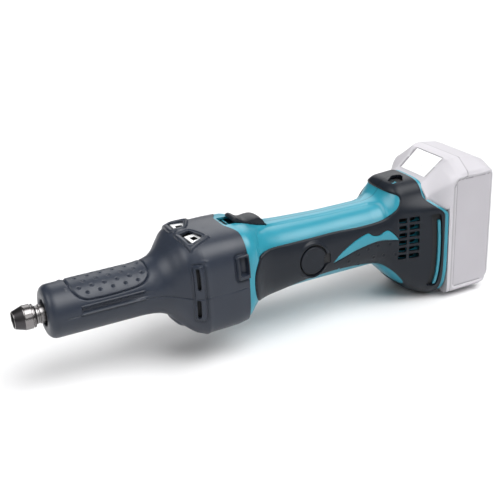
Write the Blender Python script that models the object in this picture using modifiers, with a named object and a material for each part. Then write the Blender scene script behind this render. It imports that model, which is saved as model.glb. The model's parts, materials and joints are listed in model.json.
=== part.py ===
"""Cordless straight die grinder with a slide-on battery pack, built as an assembly.

Every size is in millimetres, and the helpers turn them into metres. X runs back from
the tip of the collet nut along the spindle axis, Z is up from that axis, and negative Y
is the left side. An empty named grinder lifts the whole assembly so that it stands on
the ground, with the origin under its middle.
"""

import math

import bmesh
import bpy
from mathutils import Vector

MM = 0.001

# Overall sizes.
LENGTH = 402.0
AXIS_HEIGHT = 62.0
GAP = 0.3
HALF_GAP = GAP / 2

# Skins: points on each ring, wall thickness, how far the soft grip stands out, and the
# heights between which the rear block steps in.
RING_POINTS = 24
HOUSING_WALL = 2.4
GRIP_PROUD = 1.3
STEP_LOW, STEP_HIGH = 20.0, 34.0
TURN_STEPS = 24
SMALL_STEPS = 16

# Spindle line.
NUT_FLATS = 16.4
COVER_FRONT = 22.0
COVER_REAR = 170.0
HOUSING_FRONT = COVER_REAR + GAP
SPINDLE_RADIUS = 5.9
SPINDLE_FLATS = 13.0
SPINDLE_BEARINGS = (28.7, 77.0)
SPINDLE_BEARING = (SPINDLE_RADIUS + GAP, 14.0, 8.0)
BEARING_BORE = 14.3
MOTOR_BEARING_FRONT = 120.0
MOTOR_BEARING_REAR = 240.0
MOTOR_SHAFT_RADIUS = 4.0
CORE_SHAFT_RADIUS = 5.0

# Motor.
FAN_RADIUS = 29.3
YOKE_RADIUS = 22.3
CORE_RADIUS = 15.3
COMMUTATOR_RADIUS = 10.4
BRUSH_X = 231.0

# Slide switch.
SWITCH_PIVOT = (188.0, 31.0)
KNOB_WIDTH = 15.0
BAR_WIDTH = 6.0
BAR_BOTTOM, BAR_TOP = 22.9, 24.5

# Brush cap covers.
CAP_RADIUS = 12.9
CAP_FACE = 28.6

# Battery pack and the rails that hold it.
BATTERY_FRONT = 336.0
BATTERY_SHOULDER = 355.0
BATTERY_REAR = LENGTH
BATTERY_SPLIT = 372.0
BATTERY_BOTTOM = -58.2
BLOCK_BOTTOM = -57.4
BLOCK_HALF_WIDTH = 27.0
BATTERY_HALF_WIDTH = 39.0
RAIL_X = (341.0, 346.4)
RAIL_HALF_WIDTH = 23.6
CELL_RADIUS = 9.1
CELL_PITCH = 18.6
CELL_LENGTH = 65.0
HOOK_HEIGHTS = (31.0, 36.0)

# Housing screws: x, z and how far the bosses reach out towards the wall.
SCREWS = ((257.0, -15.0, 19.6), (293.0, 14.0, 20.6), (322.3, 25.1, 25.4), (323.7, -36.3, 22.9))
SCREW_HEAD_SEAT = 10.0

# Stations of the front cover's skin: x, half width, half width above the step,
# top, bottom, squareness of the upper half and of the lower half.
COVER_STATIONS = (
    (COVER_FRONT, 15.6, 15.6, 15.6, -15.6, 2.0, 2.0),
    (23.4, 18.2, 18.2, 18.2, -18.2, 2.0, 2.0),
    (25.6, 19.6, 19.6, 19.6, -19.6, 2.0, 2.0),
    (29.0, 20.2, 20.2, 20.2, -20.2, 2.0, 2.0),
    (92.0, 20.2, 20.2, 20.2, -20.2, 2.0, 2.0),
    (100.0, 21.6, 21.6, 21.8, -20.8, 2.0, 2.0),
    (107.0, 24.2, 24.2, 24.8, -22.4, 2.1, 2.0),
    (113.0, 27.6, 27.6, 28.6, -24.8, 2.2, 2.1),
    (119.0, 31.4, 31.4, 33.0, -30.6, 2.5, 2.4),
    (125.0, 34.8, 34.8, 36.6, -35.0, 2.9, 3.2),
    (131.0, 37.0, 37.0, 38.2, -38.2, 3.2, 4.4),
    (138.0, 37.8, 37.8, 38.6, -38.8, 3.3, 5.0),
    (160.0, 37.8, 37.8, 38.8, -38.4, 3.3, 5.0),
    (COVER_REAR, 37.3, 37.3, 38.6, -37.2, 3.3, 4.8),
)
COVER_CAVITY = (
    (COVER_FRONT, 9.9, 9.9, 9.9, -9.9, 2.0, 2.0),
    (24.3, 9.9, 9.9, 9.9, -9.9, 2.0, 2.0),
    (24.3, 18.2, 18.2, 18.2, -18.2, 2.0, 2.0),
    (107.5, 18.2, 18.2, 18.2, -18.2, 2.0, 2.0),
    (114.5, 23.4, 23.4, 23.4, -21.6, 2.0, 2.0),
    (121.0, 28.4, 28.4, 28.4, -27.6, 2.0, 2.0),
    (128.0, 33.8, 33.8, 33.8, -33.8, 2.2, 2.2),
    (COVER_REAR, 34.6, 34.6, 35.4, -34.6, 3.0, 3.4),
)
HOUSING_STATIONS = (
    (HOUSING_FRONT, 36.9, 36.9, 38.2, -36.6, 3.3, 4.4),
    (174.0, 36.6, 36.6, 38.0, -34.6, 3.3, 3.9),
    (178.0, 35.2, 35.2, 37.2, -31.4, 3.2, 3.4),
    (185.0, 31.3, 31.3, 35.0, -28.8, 2.9, 2.9),
    (195.0, 29.0, 29.0, 32.0, -27.0, 2.7, 2.7),
    (210.0, 27.7, 27.7, 29.5, -26.3, 2.6, 2.6),
    (231.0, 26.7, 26.7, 28.5, -26.0, 2.5, 2.5),
    (260.0, 25.2, 25.2, 27.6, -26.4, 2.5, 2.5),
    (292.0, 25.2, 25.2, 27.6, -26.4, 2.5, 2.5),
    (299.0, 25.8, 25.8, 29.0, -27.4, 2.6, 2.6),
    (305.0, 26.8, 26.0, 35.4, -31.4, 3.0, 2.7),
    (310.0, 27.9, 25.8, 40.4, -36.6, 3.6, 2.9),
    (316.0, 29.1, 25.8, 41.8, -43.0, 4.2, 3.1),
    (324.0, 30.9, 26.0, 42.2, -50.0, 4.6, 3.4),
    (335.0, 33.9, 27.0, 42.3, -58.6, 5.0, 3.7),
    (345.0, 36.6, 27.6, 42.3, -62.0, 5.0, 4.0),
    (354.0, 38.7, 28.0, 42.3, -62.0, 5.0, 4.2),
)
# The housing's hollow follows its skin up to the wing, and then keeps one size.
HOLLOW_END = 324.0
HOLLOW_REAR = (25.0, 23.0, 38.0, -44.0, 4.0, 4.0)

FINISHES = {
    "slate_elastomer": ((0.105, 0.118, 0.145), 0.55, 0.0),
    "teal_plastic": ((0.03, 0.38, 0.50), 0.30, 0.0),
    "charcoal_elastomer": ((0.085, 0.085, 0.105), 0.60, 0.0),
    "black_plastic": ((0.02, 0.02, 0.022), 0.45, 0.0),
    "pale_plastic": ((0.62, 0.60, 0.62), 0.40, 0.0),
    "white_plastic": ((0.85, 0.84, 0.85), 0.35, 0.0),
    "aluminium": ((0.75, 0.76, 0.78), 0.35, 1.0),
    "dark_steel": ((0.16, 0.15, 0.15), 0.32, 1.0),
    "bright_steel": ((0.62, 0.62, 0.64), 0.25, 1.0),
    "copper": ((0.72, 0.36, 0.20), 0.35, 1.0),
    "brass": ((0.78, 0.60, 0.28), 0.35, 1.0),
    "carbon": ((0.03, 0.03, 0.03), 0.70, 0.0),
    "magnet": ((0.10, 0.10, 0.11), 0.60, 0.3),
    "board_green": ((0.03, 0.18, 0.09), 0.50, 0.0),
    "cell_wrap": ((0.10, 0.30, 0.20), 0.40, 0.0),
    "red_lead": ((0.55, 0.03, 0.02), 0.45, 0.0),
}

ALONG_X = (math.pi / 2, 0.0, math.pi / 2)
ALONG_Y = (math.pi / 2, 0.0, 0.0)
TURNED_ALONG_X = (0.0, math.pi / 2, 0.0)
TURNED_ALONG_Y = (-math.pi / 2, 0.0, 0.0)
LEFT, RIGHT = -1.0, 1.0
SIDES = (("left", LEFT), ("right", RIGHT))


# ---------------------------------------------------------------- scene and helpers


def clear_scene():
    for leftover in list(bpy.data.objects):
        bpy.data.objects.remove(leftover)


def new_collection(name):
    collection = bpy.data.collections.new(name)
    bpy.context.scene.collection.children.link(collection)
    return collection


def shade(obj, finish):
    """Give the object its own material and smooth shading with crisp edges."""
    color, roughness, metallic = FINISHES[finish]
    material = bpy.data.materials.new(obj.name)
    material.use_nodes = True
    shader = material.node_tree.nodes["Principled BSDF"]
    shader.inputs["Base Color"].default_value = (*color, 1.0)
    shader.inputs["Roughness"].default_value = roughness
    shader.inputs["Metallic"].default_value = metallic
    obj.data.materials.append(material)


def place(obj, collection, at=(0.0, 0.0, 0.0), rotation=(0.0, 0.0, 0.0)):
    """Parent the object to the grinder's empty, at a point given in millimetres."""
    collection.objects.link(obj)
    obj.parent = ASSEMBLY
    obj.location = Vector(at) * MM
    obj.rotation_euler = rotation


def finish_part(obj, finish):
    shade(obj, finish)
    if obj.type == "MESH":
        obj.data.shade_smooth()
        obj.data.set_sharp_from_angle(angle=math.radians(35.0))
    return obj


def hide_helper(obj):
    obj.hide_render = True
    obj.display_type = "WIRE"
    return obj


def mesh_from(name, build):
    """A mesh object whose geometry the function build makes in an empty bmesh."""
    geometry = bmesh.new()
    build(geometry)
    bmesh.ops.recalc_face_normals(geometry, faces=geometry.faces)
    mesh = bpy.data.meshes.new(name)
    geometry.to_mesh(mesh)
    geometry.free()
    return bpy.data.objects.new(name, mesh)


def cut(obj, cutter, operation="DIFFERENCE"):
    modifier = obj.modifiers.new(f"{operation.lower()} {cutter.name}", "BOOLEAN")
    modifier.operation = operation
    modifier.object = cutter
    return obj


def round_edges(obj, width, segments=2):
    modifier = obj.modifiers.new("rounded edges", "BEVEL")
    modifier.width = width * MM
    modifier.segments = segments
    modifier.limit_method = "ANGLE"
    return obj


def add_boxes(geometry, boxes):
    for low, high in boxes:
        low, high = Vector(low) * MM, Vector(high) * MM
        corners = bmesh.ops.create_cube(geometry, size=1.0)["verts"]
        size = high - low
        for corner in corners:
            corner.co = low + Vector(
                ((corner.co[axis] + 0.5) * size[axis] for axis in range(3))
            )


def box(name, low, high, finish, round_by=0.0):
    obj = mesh_from(name, lambda geometry: add_boxes(geometry, [(low, high)]))
    place(obj, PARTS)
    if round_by:
        round_edges(obj, round_by)
    return finish_part(obj, finish)


def box_cutter(name, *boxes):
    """One cutter made of boxes that don't touch each other."""
    obj = mesh_from(name, lambda geometry: add_boxes(geometry, boxes))
    place(obj, CUTTERS)
    return hide_helper(obj)


def turned(name, outline, steps=TURN_STEPS, rotation=TURNED_ALONG_X, at=(0.0, 0.0, 0.0)):
    """Turn an outline of (distance along the axis, radius) about the object's Z axis.

    The outline runs down the outer side from the rear to the front. It either ends on
    the axis at both ends, or comes back along the bore and closes on itself.
    """
    closed = outline[0][1] > 0.0
    count = len(outline)

    def build(geometry):
        points = [geometry.verts.new((radius * MM, 0.0, along * MM)) for along, radius in outline]
        for index in range(count if closed else count - 1):
            geometry.edges.new((points[index], points[(index + 1) % count]))

    obj = mesh_from(name, build)
    place(obj, PARTS, at, rotation)
    screw = obj.modifiers.new("turned", "SCREW")
    screw.steps = screw.render_steps = steps
    screw.use_merge_vertices = True
    screw.merge_threshold = 0.00001
    screw.use_smooth_shade = True
    return obj


def turned_part(name, outline, finish, **options):
    return finish_part(turned(name, outline, **options), finish)


def turned_cutter(name, outline, **options):
    obj = turned(name, outline, **options)
    PARTS.objects.unlink(obj)
    CUTTERS.objects.link(obj)
    return hide_helper(obj)


def plate(name, outlines, thickness, collection, at=(0.0, 0.0, 0.0), rotation=ALONG_Y):
    """A flat outline, with holes if more than one outline is given, as a welded mesh."""
    curve = bpy.data.curves.new(name, "CURVE")
    curve.dimensions = "2D"
    curve.fill_mode = "BOTH"
    curve.extrude = thickness / 2 * MM
    for outline in outlines:
        spline = curve.splines.new("POLY")
        spline.points.add(len(outline) - 1)
        spline.use_cyclic_u = True
        for point, (across, up) in zip(spline.points, outline):
            point.co = (across * MM, up * MM, 0.0, 1.0)
    flat = bpy.data.objects.new(name + " curve", curve)
    bpy.context.scene.collection.objects.link(flat)
    graph = bpy.context.evaluated_depsgraph_get()
    mesh = bpy.data.meshes.new_from_object(flat.evaluated_get(graph))
    bpy.data.objects.remove(flat)
    geometry = bmesh.new()
    geometry.from_mesh(mesh)
    bmesh.ops.remove_doubles(geometry, verts=geometry.verts, dist=0.00001)
    bmesh.ops.recalc_face_normals(geometry, faces=geometry.faces)
    geometry.to_mesh(mesh)
    geometry.free()
    mesh.name = name
    obj = bpy.data.objects.new(name, mesh)
    place(obj, collection, at, rotation)
    return obj


def plate_part(name, outlines, thickness, finish, **options):
    return finish_part(plate(name, outlines, thickness, PARTS, **options), finish)


def plate_cutter(name, outlines, thickness, **options):
    return hide_helper(plate(name, outlines, thickness, CUTTERS, **options))


def circle(radius, count=SMALL_STEPS, center=(0.0, 0.0)):
    turns = [2 * math.pi * (index + 0.5) / count for index in range(count)]
    return [(center[0] + radius * math.cos(t), center[1] + radius * math.sin(t)) for t in turns]


def toothed(root_radius, tip_radius, teeth, tooth_share):
    """A wheel outline whose teeth take up tooth_share of each pitch."""
    pitch = 2 * math.pi / teeth
    half = pitch * tooth_share / 2
    outline = []
    for tooth in range(teeth):
        middle = tooth * pitch
        for angle, radius in (
            (middle - half, root_radius),
            (middle - half, tip_radius),
            (middle + half, tip_radius),
            (middle + half, root_radius),
        ):
            outline.append((radius * math.cos(angle), radius * math.sin(angle)))
    return outline


def ring(station, grow=0.0):
    """One closed ring of a lofted skin.

    Each half is a superellipse with its own squareness. Above the step the half width
    eases from the first value to the second. Flats, not corners, lie on the sizes.
    """
    x, half_width, step_width, top, bottom, top_power, bottom_power = station
    middle, half_height = (top + bottom) / 2, (top - bottom) / 2 + grow
    flat = math.cos(math.pi / RING_POINTS)
    points = []
    for index in range(RING_POINTS):
        angle = 2 * math.pi * (index + 0.5) / RING_POINTS
        across, up = math.cos(angle) / flat, math.sin(angle) / flat
        power = 2 / (top_power if up > 0 else bottom_power)
        z = middle + math.copysign(half_height * abs(up) ** power, up)
        step = min(max((z - STEP_LOW) / (STEP_HIGH - STEP_LOW), 0.0), 1.0)
        ease = step * step * (3 - 2 * step)
        width = half_width + (step_width - half_width) * ease + grow
        points.append((x, math.copysign(width * abs(across) ** power, across), z))
    return points


def skin(name, rings):
    """A hollow body through closed rings, the last of which joins the first."""

    def build(geometry):
        rows = [[geometry.verts.new(Vector(point) * MM) for point in row] for row in rings]
        for row, following in zip(rows, rows[1:] + rows[:1]):
            for index in range(RING_POINTS):
                after = (index + 1) % RING_POINTS
                geometry.faces.new((row[index], row[after], following[after], following[index]))
        bmesh.ops.triangulate(geometry, faces=geometry.faces)

    obj = mesh_from(name, build)
    place(obj, PARTS)
    return obj


# ---------------------------------------------------------------- spindle and collet


def make_spindle():
    bearing_end = 106.0
    spindle = turned_part(
        "spindle",
        [
            (bearing_end, 0.0),
            (bearing_end, SPINDLE_RADIUS),
            (25.2, SPINDLE_RADIUS),
            (25.2, 7.1),
            (18.6, 7.1),
            (18.6, 6.2),
            (17.8, 6.2),
            (17.8, 6.8),
            (15.9, 6.8),
            (15.9, SPINDLE_RADIUS),
            (7.5, SPINDLE_RADIUS),
            (7.5, 5.05),
            (25.5, 4.1),
            (25.5, 3.4),
            (46.0, 3.4),
            (46.0, 0.0),
        ],
        "bright_steel",
    )
    half = SPINDLE_FLATS / 2
    flats = box_cutter(
        "spindle_flats_cutter",
        ((19.2, -9.0, -9.0), (24.6, -half, 9.0)),
        ((19.2, half, -9.0), (24.6, 9.0, 9.0)),
    )
    cut(spindle, flats)


def make_collet():
    cone = turned_part(
        "collet_cone",
        [(25.2, 3.8), (7.5, 4.75), (2.7, 4.85), (2.7, 3.05), (25.2, 3.05)],
        "bright_steel",
    )
    slit = 0.8 / 2
    slits = box_cutter("collet_slit_cutter", ((10.0, -6.0, -slit), (26.0, 6.0, slit)))
    cross_slits = box_cutter("collet_cross_slit_cutter", ((10.0, -slit, -6.0), (26.0, slit, 6.0)))
    cut(cut(cone, slits), cross_slits)

    nut = turned_part(
        "collet_nut",
        [
            (15.3, 9.3),
            (7.2, 9.3),
            (0.6, 6.7),
            (0.0, 6.2),
            (0.0, 5.3),
            (1.8, 4.2),
            (2.4, 4.2),
            (2.4, 5.15),
            (6.5, 5.15),
            (6.9, 6.2),
            (15.3, 6.2),
        ],
        "dark_steel",
    )
    corner = NUT_FLATS / 2 / math.cos(math.pi / 6)
    hexagon = plate_cutter(
        "nut_hexagon",
        [circle(corner, 6)],
        20.0,
        at=(8.0, 0.0, 0.0),
        rotation=ALONG_X,
    )
    cut(nut, hexagon, "INTERSECT")


def make_bearing(name, front, bore, outer, width, shaft_steps=SMALL_STEPS):
    """An outer race with its two shields, and an inner race that turns inside them."""
    wall = (outer - bore) * 0.3
    shield = 0.8
    lip = bore + wall + GAP
    rear = front + width
    turned_part(
        name + "_outer_race",
        [
            (rear, outer),
            (front, outer),
            (front, lip),
            (front + shield, lip),
            (front + shield, outer - wall),
            (rear - shield, outer - wall),
            (rear - shield, lip),
            (rear, lip),
        ],
        "bright_steel",
        steps=shaft_steps,
    )
    turned_part(
        name + "_inner_race",
        [(rear, bore + wall), (front, bore + wall), (front, bore), (rear, bore)],
        "bright_steel",
        steps=shaft_steps,
    )


def make_bearings():
    bore, outer, width = SPINDLE_BEARING
    make_bearing("front_spindle_bearing", SPINDLE_BEARINGS[0], bore, outer, width)
    make_bearing("rear_spindle_bearing", SPINDLE_BEARINGS[1], bore, outer, width)
    make_bearing("front_motor_bearing", MOTOR_BEARING_FRONT, MOTOR_SHAFT_RADIUS + GAP, 11.0, 7.0)
    make_bearing("rear_motor_bearing", MOTOR_BEARING_REAR, 3.3, 9.5, 6.0)
    spacer_front = SPINDLE_BEARINGS[0] + width + GAP
    spacer_rear = SPINDLE_BEARINGS[1] - GAP
    turned_part(
        "bearing_spacer",
        [(spacer_rear, 14.0), (spacer_front, 14.0), (spacer_front, 12.4), (spacer_rear, 12.4)],
        "bright_steel",
        steps=SMALL_STEPS,
    )
    turned_part(
        "bearing_retainer",
        [(28.4, 13.9), (25.2, 13.9), (25.2, 8.9), (26.4, 7.7), (28.4, 7.7)],
        "dark_steel",
    )


# ---------------------------------------------------------------- nose


def make_bearing_box():
    """The aluminium nose casting: a tube for the bearings and a cup around the fan."""
    casting = turned_part(
        "bearing_box",
        [
            (168.5, 33.4),
            (128.4, 33.2),
            (121.5, 26.4),
            (114.0, 20.2),
            (108.0, 17.8),
            (24.7, 17.8),
            (24.7, BEARING_BORE),
            (85.3, BEARING_BORE),
            (85.3, 10.4),
            (119.7, 10.4),
            (119.7, 11.3),
            (127.7, 11.3),
            (129.4, 30.9),
            (168.5, 30.9),
        ],
        "aluminium",
    )
    windows = box_cutter(
        "casting_window_cutter",
        ((131.0, 5.0, 20.0), (143.0, 19.0, 40.0)),
        ((131.0, -19.0, 20.0), (143.0, -5.0, 40.0)),
        ((131.0, 24.0, -18.0), (149.0, 40.0, 18.0)),
        ((131.0, -40.0, -18.0), (149.0, -24.0, 18.0)),
    )
    cut(casting, windows)


def make_front_cover():
    outer = [ring(station) for station in COVER_STATIONS]
    cavity = [ring(station) for station in COVER_CAVITY]
    cover = skin("front_cover", outer + cavity[::-1])
    finish_part(cover, "slate_elastomer")
    slots = []
    for side in (LEFT, RIGHT):
        near, far = sorted((side * 28.0, side * 44.0))
        slots.append(((126.7, near, 3.5), (130.9, far, 21.6)))
        slots.append(((126.7, near, -20.0), (130.9, far, -3.5)))
    cut(cover, box_cutter("side_vent_cutter", *slots))
    vents = []
    for side in (LEFT, RIGHT):
        near, far = sorted((side * 5.5, side * 21.0))
        vents.append(((129.0, near, 26.0), (142.0, far, 44.0)))
    cut(cover, box_cutter("top_vent_cutter", *vents))


# ---------------------------------------------------------------- motor


def make_rotor():
    """Everything that turns with the armature shaft behind the spindle."""
    turned_part(
        "coupling_sleeve",
        [(116.0, 9.2), (98.0, 9.2), (98.0, 6.2), (106.5, 6.2), (106.5, 4.3), (116.0, 4.3)],
        "dark_steel",
        steps=SMALL_STEPS,
    )
    turned_part(
        "armature_shaft",
        [
            (247.0, 0.0),
            (247.0, 3.0),
            (239.5, 3.0),
            (239.5, CORE_SHAFT_RADIUS),
            (128.0, CORE_SHAFT_RADIUS),
            (128.0, MOTOR_SHAFT_RADIUS),
            (106.9, MOTOR_SHAFT_RADIUS),
            (106.9, 0.0),
        ],
        "bright_steel",
        steps=SMALL_STEPS,
    )
    bore = circle(CORE_SHAFT_RADIUS + GAP)
    fan = plate_part(
        "fan",
        [toothed(13.0, FAN_RADIUS, 15, 0.18), bore],
        11.0,
        "black_plastic",
        at=(140.5, 0.0, 0.0),
        rotation=ALONG_X,
    )
    disc = turned_cutter(
        "fan_disc",
        [(147.4, FAN_RADIUS), (145.4, FAN_RADIUS), (145.4, 8.0), (147.4, 8.0)],
    )
    cut(fan, disc, "UNION")
    plate_part(
        "armature_core",
        [toothed(11.0, CORE_RADIUS, 12, 0.72), bore],
        32.0,
        "bright_steel",
        at=(198.0, 0.0, 0.0),
        rotation=ALONG_X,
    )
    for name, front, rear in (("front_winding", 172.5, 181.7), ("rear_winding", 214.3, 222.5)):
        turned_part(
            name,
            [(rear, 11.0), (rear - 2, 13.4), (front + 2, 13.4), (front, 11.0), (front, 6.2), (rear, 6.2)],
            "copper",
            steps=SMALL_STEPS,
        )
    plate_part(
        "commutator",
        [toothed(9.8, COMMUTATOR_RADIUS, 18, 0.86), bore],
        13.0,
        "copper",
        at=(BRUSH_X, 0.0, 0.0),
        rotation=ALONG_X,
    )


def arc_band(inner, outer, low_degrees, high_degrees, steps=10):
    turns = [
        math.radians(low_degrees + (high_degrees - low_degrees) * index / steps)
        for index in range(steps + 1)
    ]
    there = [(outer * math.cos(turn), outer * math.sin(turn)) for turn in turns]
    back = [(inner * math.cos(turn), inner * math.sin(turn)) for turn in reversed(turns)]
    return there + back


def make_stator():
    turned_part(
        "motor_yoke",
        [
            (222.5, YOKE_RADIUS),
            (173.0, YOKE_RADIUS),
            (173.0, YOKE_RADIUS - 1.8),
            (222.5, YOKE_RADIUS - 1.8),
        ],
        "dark_steel",
    )
    for name, start in (("upper_magnet", 30.0), ("lower_magnet", 210.0)):
        plate_part(
            name,
            [arc_band(CORE_RADIUS + 0.7, YOKE_RADIUS - 2.1, start, start + 120.0)],
            38.0,
            "magnet",
            at=(198.0, 0.0, 0.0),
            rotation=ALONG_X,
        )
    turned_part(
        "fan_baffle",
        [(154.6, 30.5), (152.0, 30.5), (152.0, 16.0), (154.6, 16.0)],
        "black_plastic",
    )


def spring_path(length, radius, turns, points_per_turn):
    count = turns * points_per_turn + 1
    path = []
    for index in range(count):
        turn = 2 * math.pi * index / points_per_turn
        along = length * index / (count - 1)
        path.append((radius * math.cos(turn), along, radius * math.sin(turn)))
    return path


def wire(name, path, radius, finish, at=(0.0, 0.0, 0.0)):
    curve = bpy.data.curves.new(name, "CURVE")
    curve.dimensions = "3D"
    curve.bevel_depth = radius * MM
    curve.bevel_resolution = 1
    curve.use_fill_caps = True
    spline = curve.splines.new("POLY")
    spline.points.add(len(path) - 1)
    for point, place_mm in zip(spline.points, path):
        point.co = (*(Vector(place_mm) * MM), 1.0)
    obj = bpy.data.objects.new(name, curve)
    place(obj, PARTS, at)
    shade(obj, finish)
    return obj


def make_brush_gear():
    holder_hole = box_cutter(
        "brush_holder_hole", ((BRUSH_X - 4.3, -24.0, -5.3), (BRUSH_X + 4.3, 24.0, 5.3))
    )
    end_bell = turned_part(
        "brush_plate",
        [
            (247.5, 15.0),
            (240.0, YOKE_RADIUS),
            (225.0, YOKE_RADIUS),
            (225.0, 12.4),
            (238.0, 12.4),
            (238.0, 9.8),
            (247.5, 9.8),
        ],
        "black_plastic",
    )
    cut(end_bell, holder_hole)
    for name, side in SIDES:
        near, far = sorted((side * 12.4, side * 22.0))
        holder = box(
            f"{name}_brush_holder",
            (BRUSH_X - 4.0, near, -5.0),
            (BRUSH_X + 4.0, far, 5.0),
            "brass",
        )
        near, far = sorted((side * 11.0, side * 25.0))
        channel = box_cutter(
            f"{name}_brush_channel", ((BRUSH_X - 3.3, near, -4.3), (BRUSH_X + 3.3, far, 4.3))
        )
        cut(holder, channel)
        near, far = sorted((side * (COMMUTATOR_RADIUS + GAP), side * 18.0))
        box(
            f"{name}_carbon_brush",
            (BRUSH_X - 3.0, near, -4.0),
            (BRUSH_X + 3.0, far, 4.0),
            "carbon",
        )
        spring = [(x, side * y, z) for x, y, z in spring_path(3.0, 2.2, 2, 8)]
        wire(f"{name}_brush_spring", spring, 0.35, "bright_steel", (BRUSH_X, side * 18.7, 0.0))
        near, far = 22.4, 24.9
        cap = [(far, 0.0), (far, 7.6), (near, 7.6), (near, 0.0)]
        turned_part(
            f"{name}_brush_cap",
            cap,
            "black_plastic",
            steps=SMALL_STEPS,
            rotation=(-side * math.pi / 2, 0.0, 0.0),
            at=(BRUSH_X, 0.0, 0.0),
        )


def make_cap_covers():
    for name, side in SIDES:
        cover = turned_part(
            f"{name}_cap_cover",
            [
                (CAP_FACE, 0.0),
                (CAP_FACE, CAP_RADIUS - 1.2),
                (CAP_FACE - 0.9, CAP_RADIUS),
                (25.3, CAP_RADIUS),
                (25.3, 0.0),
            ],
            "charcoal_elastomer",
            rotation=(-side * math.pi / 2, 0.0, 0.0),
            at=(BRUSH_X, 0.0, 0.0),
        )
        notch_near, notch_far = sorted((side * 26.6, side * 30.0))
        notch = box_cutter(
            f"{name}_pry_notch",
            ((BRUSH_X + 10.6, notch_near, -2.6), (BRUSH_X + 15.0, notch_far, 2.6)),
        )
        cut(cover, notch)


# ---------------------------------------------------------------- handle


def battery_plan(clearance):
    """The mating block's outline seen from above, with its rail grooves, grown by clearance."""
    front = BATTERY_FRONT - clearance
    shoulder = BATTERY_SHOULDER - clearance
    block = BLOCK_HALF_WIDTH + clearance
    rail = RAIL_HALF_WIDTH + clearance
    groove_front, groove_rear = RAIL_X[0] + clearance, RAIL_X[1] - clearance
    rear = BATTERY_REAR + 10.0
    right_side = [
        (front, block),
        (groove_front, block),
        (groove_front, rail),
        (groove_rear, rail),
        (groove_rear, block),
        (shoulder, block),
        (shoulder, BATTERY_HALF_WIDTH + 5.0),
        (rear, BATTERY_HALF_WIDTH + 5.0),
    ]
    return right_side + [(x, -y) for x, y in reversed(right_side)]


def handle_cutters():
    """The openings that both halves of the handle share."""
    bottom, top = BLOCK_BOTTOM - GAP, 90.0
    bay = plate_cutter(
        "battery_bay_cutter",
        [battery_plan(GAP)],
        top - bottom,
        at=(0.0, 0.0, (top + bottom) / 2),
        rotation=(0.0, 0.0, 0.0),
    )
    slots = box_cutter(
        "switch_and_latch_cutter",
        ((171.6, -KNOB_WIDTH / 2 - 0.8, 24.0), (206.0, KNOB_WIDTH / 2 + 0.8, 60.0)),
        ((330.4, -7.5, 29.0), (337.0, 7.5, 60.0)),
    )
    holes = []
    for name, side in SIDES:
        holes.append(
            turned_cutter(
                f"{name}_cap_hole",
                [(60.0, 0.0), (60.0, CAP_RADIUS + GAP), (20.0, CAP_RADIUS + GAP), (20.0, 0.0)],
                rotation=(-side * math.pi / 2, 0.0, 0.0),
                at=(BRUSH_X, 0.0, 0.0),
            )
        )
    return bay, slots, holes


def grille_cutter():
    """Two columns of six air slots on each side of the rear block."""
    columns = ((311.8, 319.4), (321.4, 329.0))
    rows, pitch, height, lowest = 6, 6.4, 4.2, -19.0
    slots = []
    for side in (LEFT, RIGHT):
        near, far = sorted((side * 19.0, side * 48.0))
        for front, rear in columns:
            for row in range(rows):
                low = lowest + row * pitch
                slots.append(((front, near, low), (rear, far, low + height)))
    return box_cutter("grille_cutter", *slots)


def grip_outline():
    """The side view of the soft grip: along the handle, round the rear block."""
    return [
        (183.0, 16.6),
        (192.7, 19.4),
        (229.5, 17.9),
        (277.0, 16.4),
        (298.0, 16.8),
        (306.5, 20.4),
        (313.0, 26.2),
        (316.4, 33.0),
        (316.4, 50.0),
        (352.6, 50.0),
        (352.6, -61.0),
        (343.0, -58.0),
        (326.0, -44.0),
        (308.0, -27.0),
        (296.0, -20.6),
        (247.0, -19.4),
        (215.0, -21.2),
        (190.0, -23.0),
        (181.0, -21.6),
        (176.6, -10.0),
        (176.2, 2.0),
        (178.6, 11.0),
    ]


def screw_cutters():
    """Bosses, pilot holes and counterbores on each housing screw's line."""
    made = []
    for number, (x, z, wall) in enumerate(SCREWS, start=1):
        made.append(
            {
                "left_boss": turned_cutter(
                    f"left_boss_{number}",
                    [(-HALF_GAP, 0.0), (-HALF_GAP, 3.4), (-wall, 3.4), (-wall, 0.0)],
                    steps=12,
                    rotation=TURNED_ALONG_Y,
                    at=(x, 0.0, z),
                ),
                "pilot": turned_cutter(
                    f"pilot_{number}",
                    [(5.0, 0.0), (5.0, 1.6), (-11.0, 1.6), (-11.0, 0.0)],
                    steps=12,
                    rotation=TURNED_ALONG_Y,
                    at=(x, 0.0, z),
                ),
                "right_boss": turned_cutter(
                    f"right_boss_{number}",
                    [(wall, 0.0), (wall, 5.0), (HALF_GAP, 5.0), (HALF_GAP, 0.0)],
                    steps=12,
                    rotation=TURNED_ALONG_Y,
                    at=(x, 0.0, z),
                ),
                "bore": turned_cutter(
                    f"screw_bore_{number}",
                    [
                        (50.0, 0.0),
                        (50.0, 3.7),
                        (SCREW_HEAD_SEAT, 3.7),
                        (SCREW_HEAD_SEAT, 1.7),
                        (-5.0, 1.7),
                        (-5.0, 0.0),
                    ],
                    steps=16,
                    rotation=TURNED_ALONG_Y,
                    at=(x, 0.0, z),
                ),
            }
        )
    return made


def hollow_ring(station):
    x = station[0]
    if x <= HOLLOW_END:
        return ring(station, -HOUSING_WALL)
    return ring((x, *HOLLOW_REAR))


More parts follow.
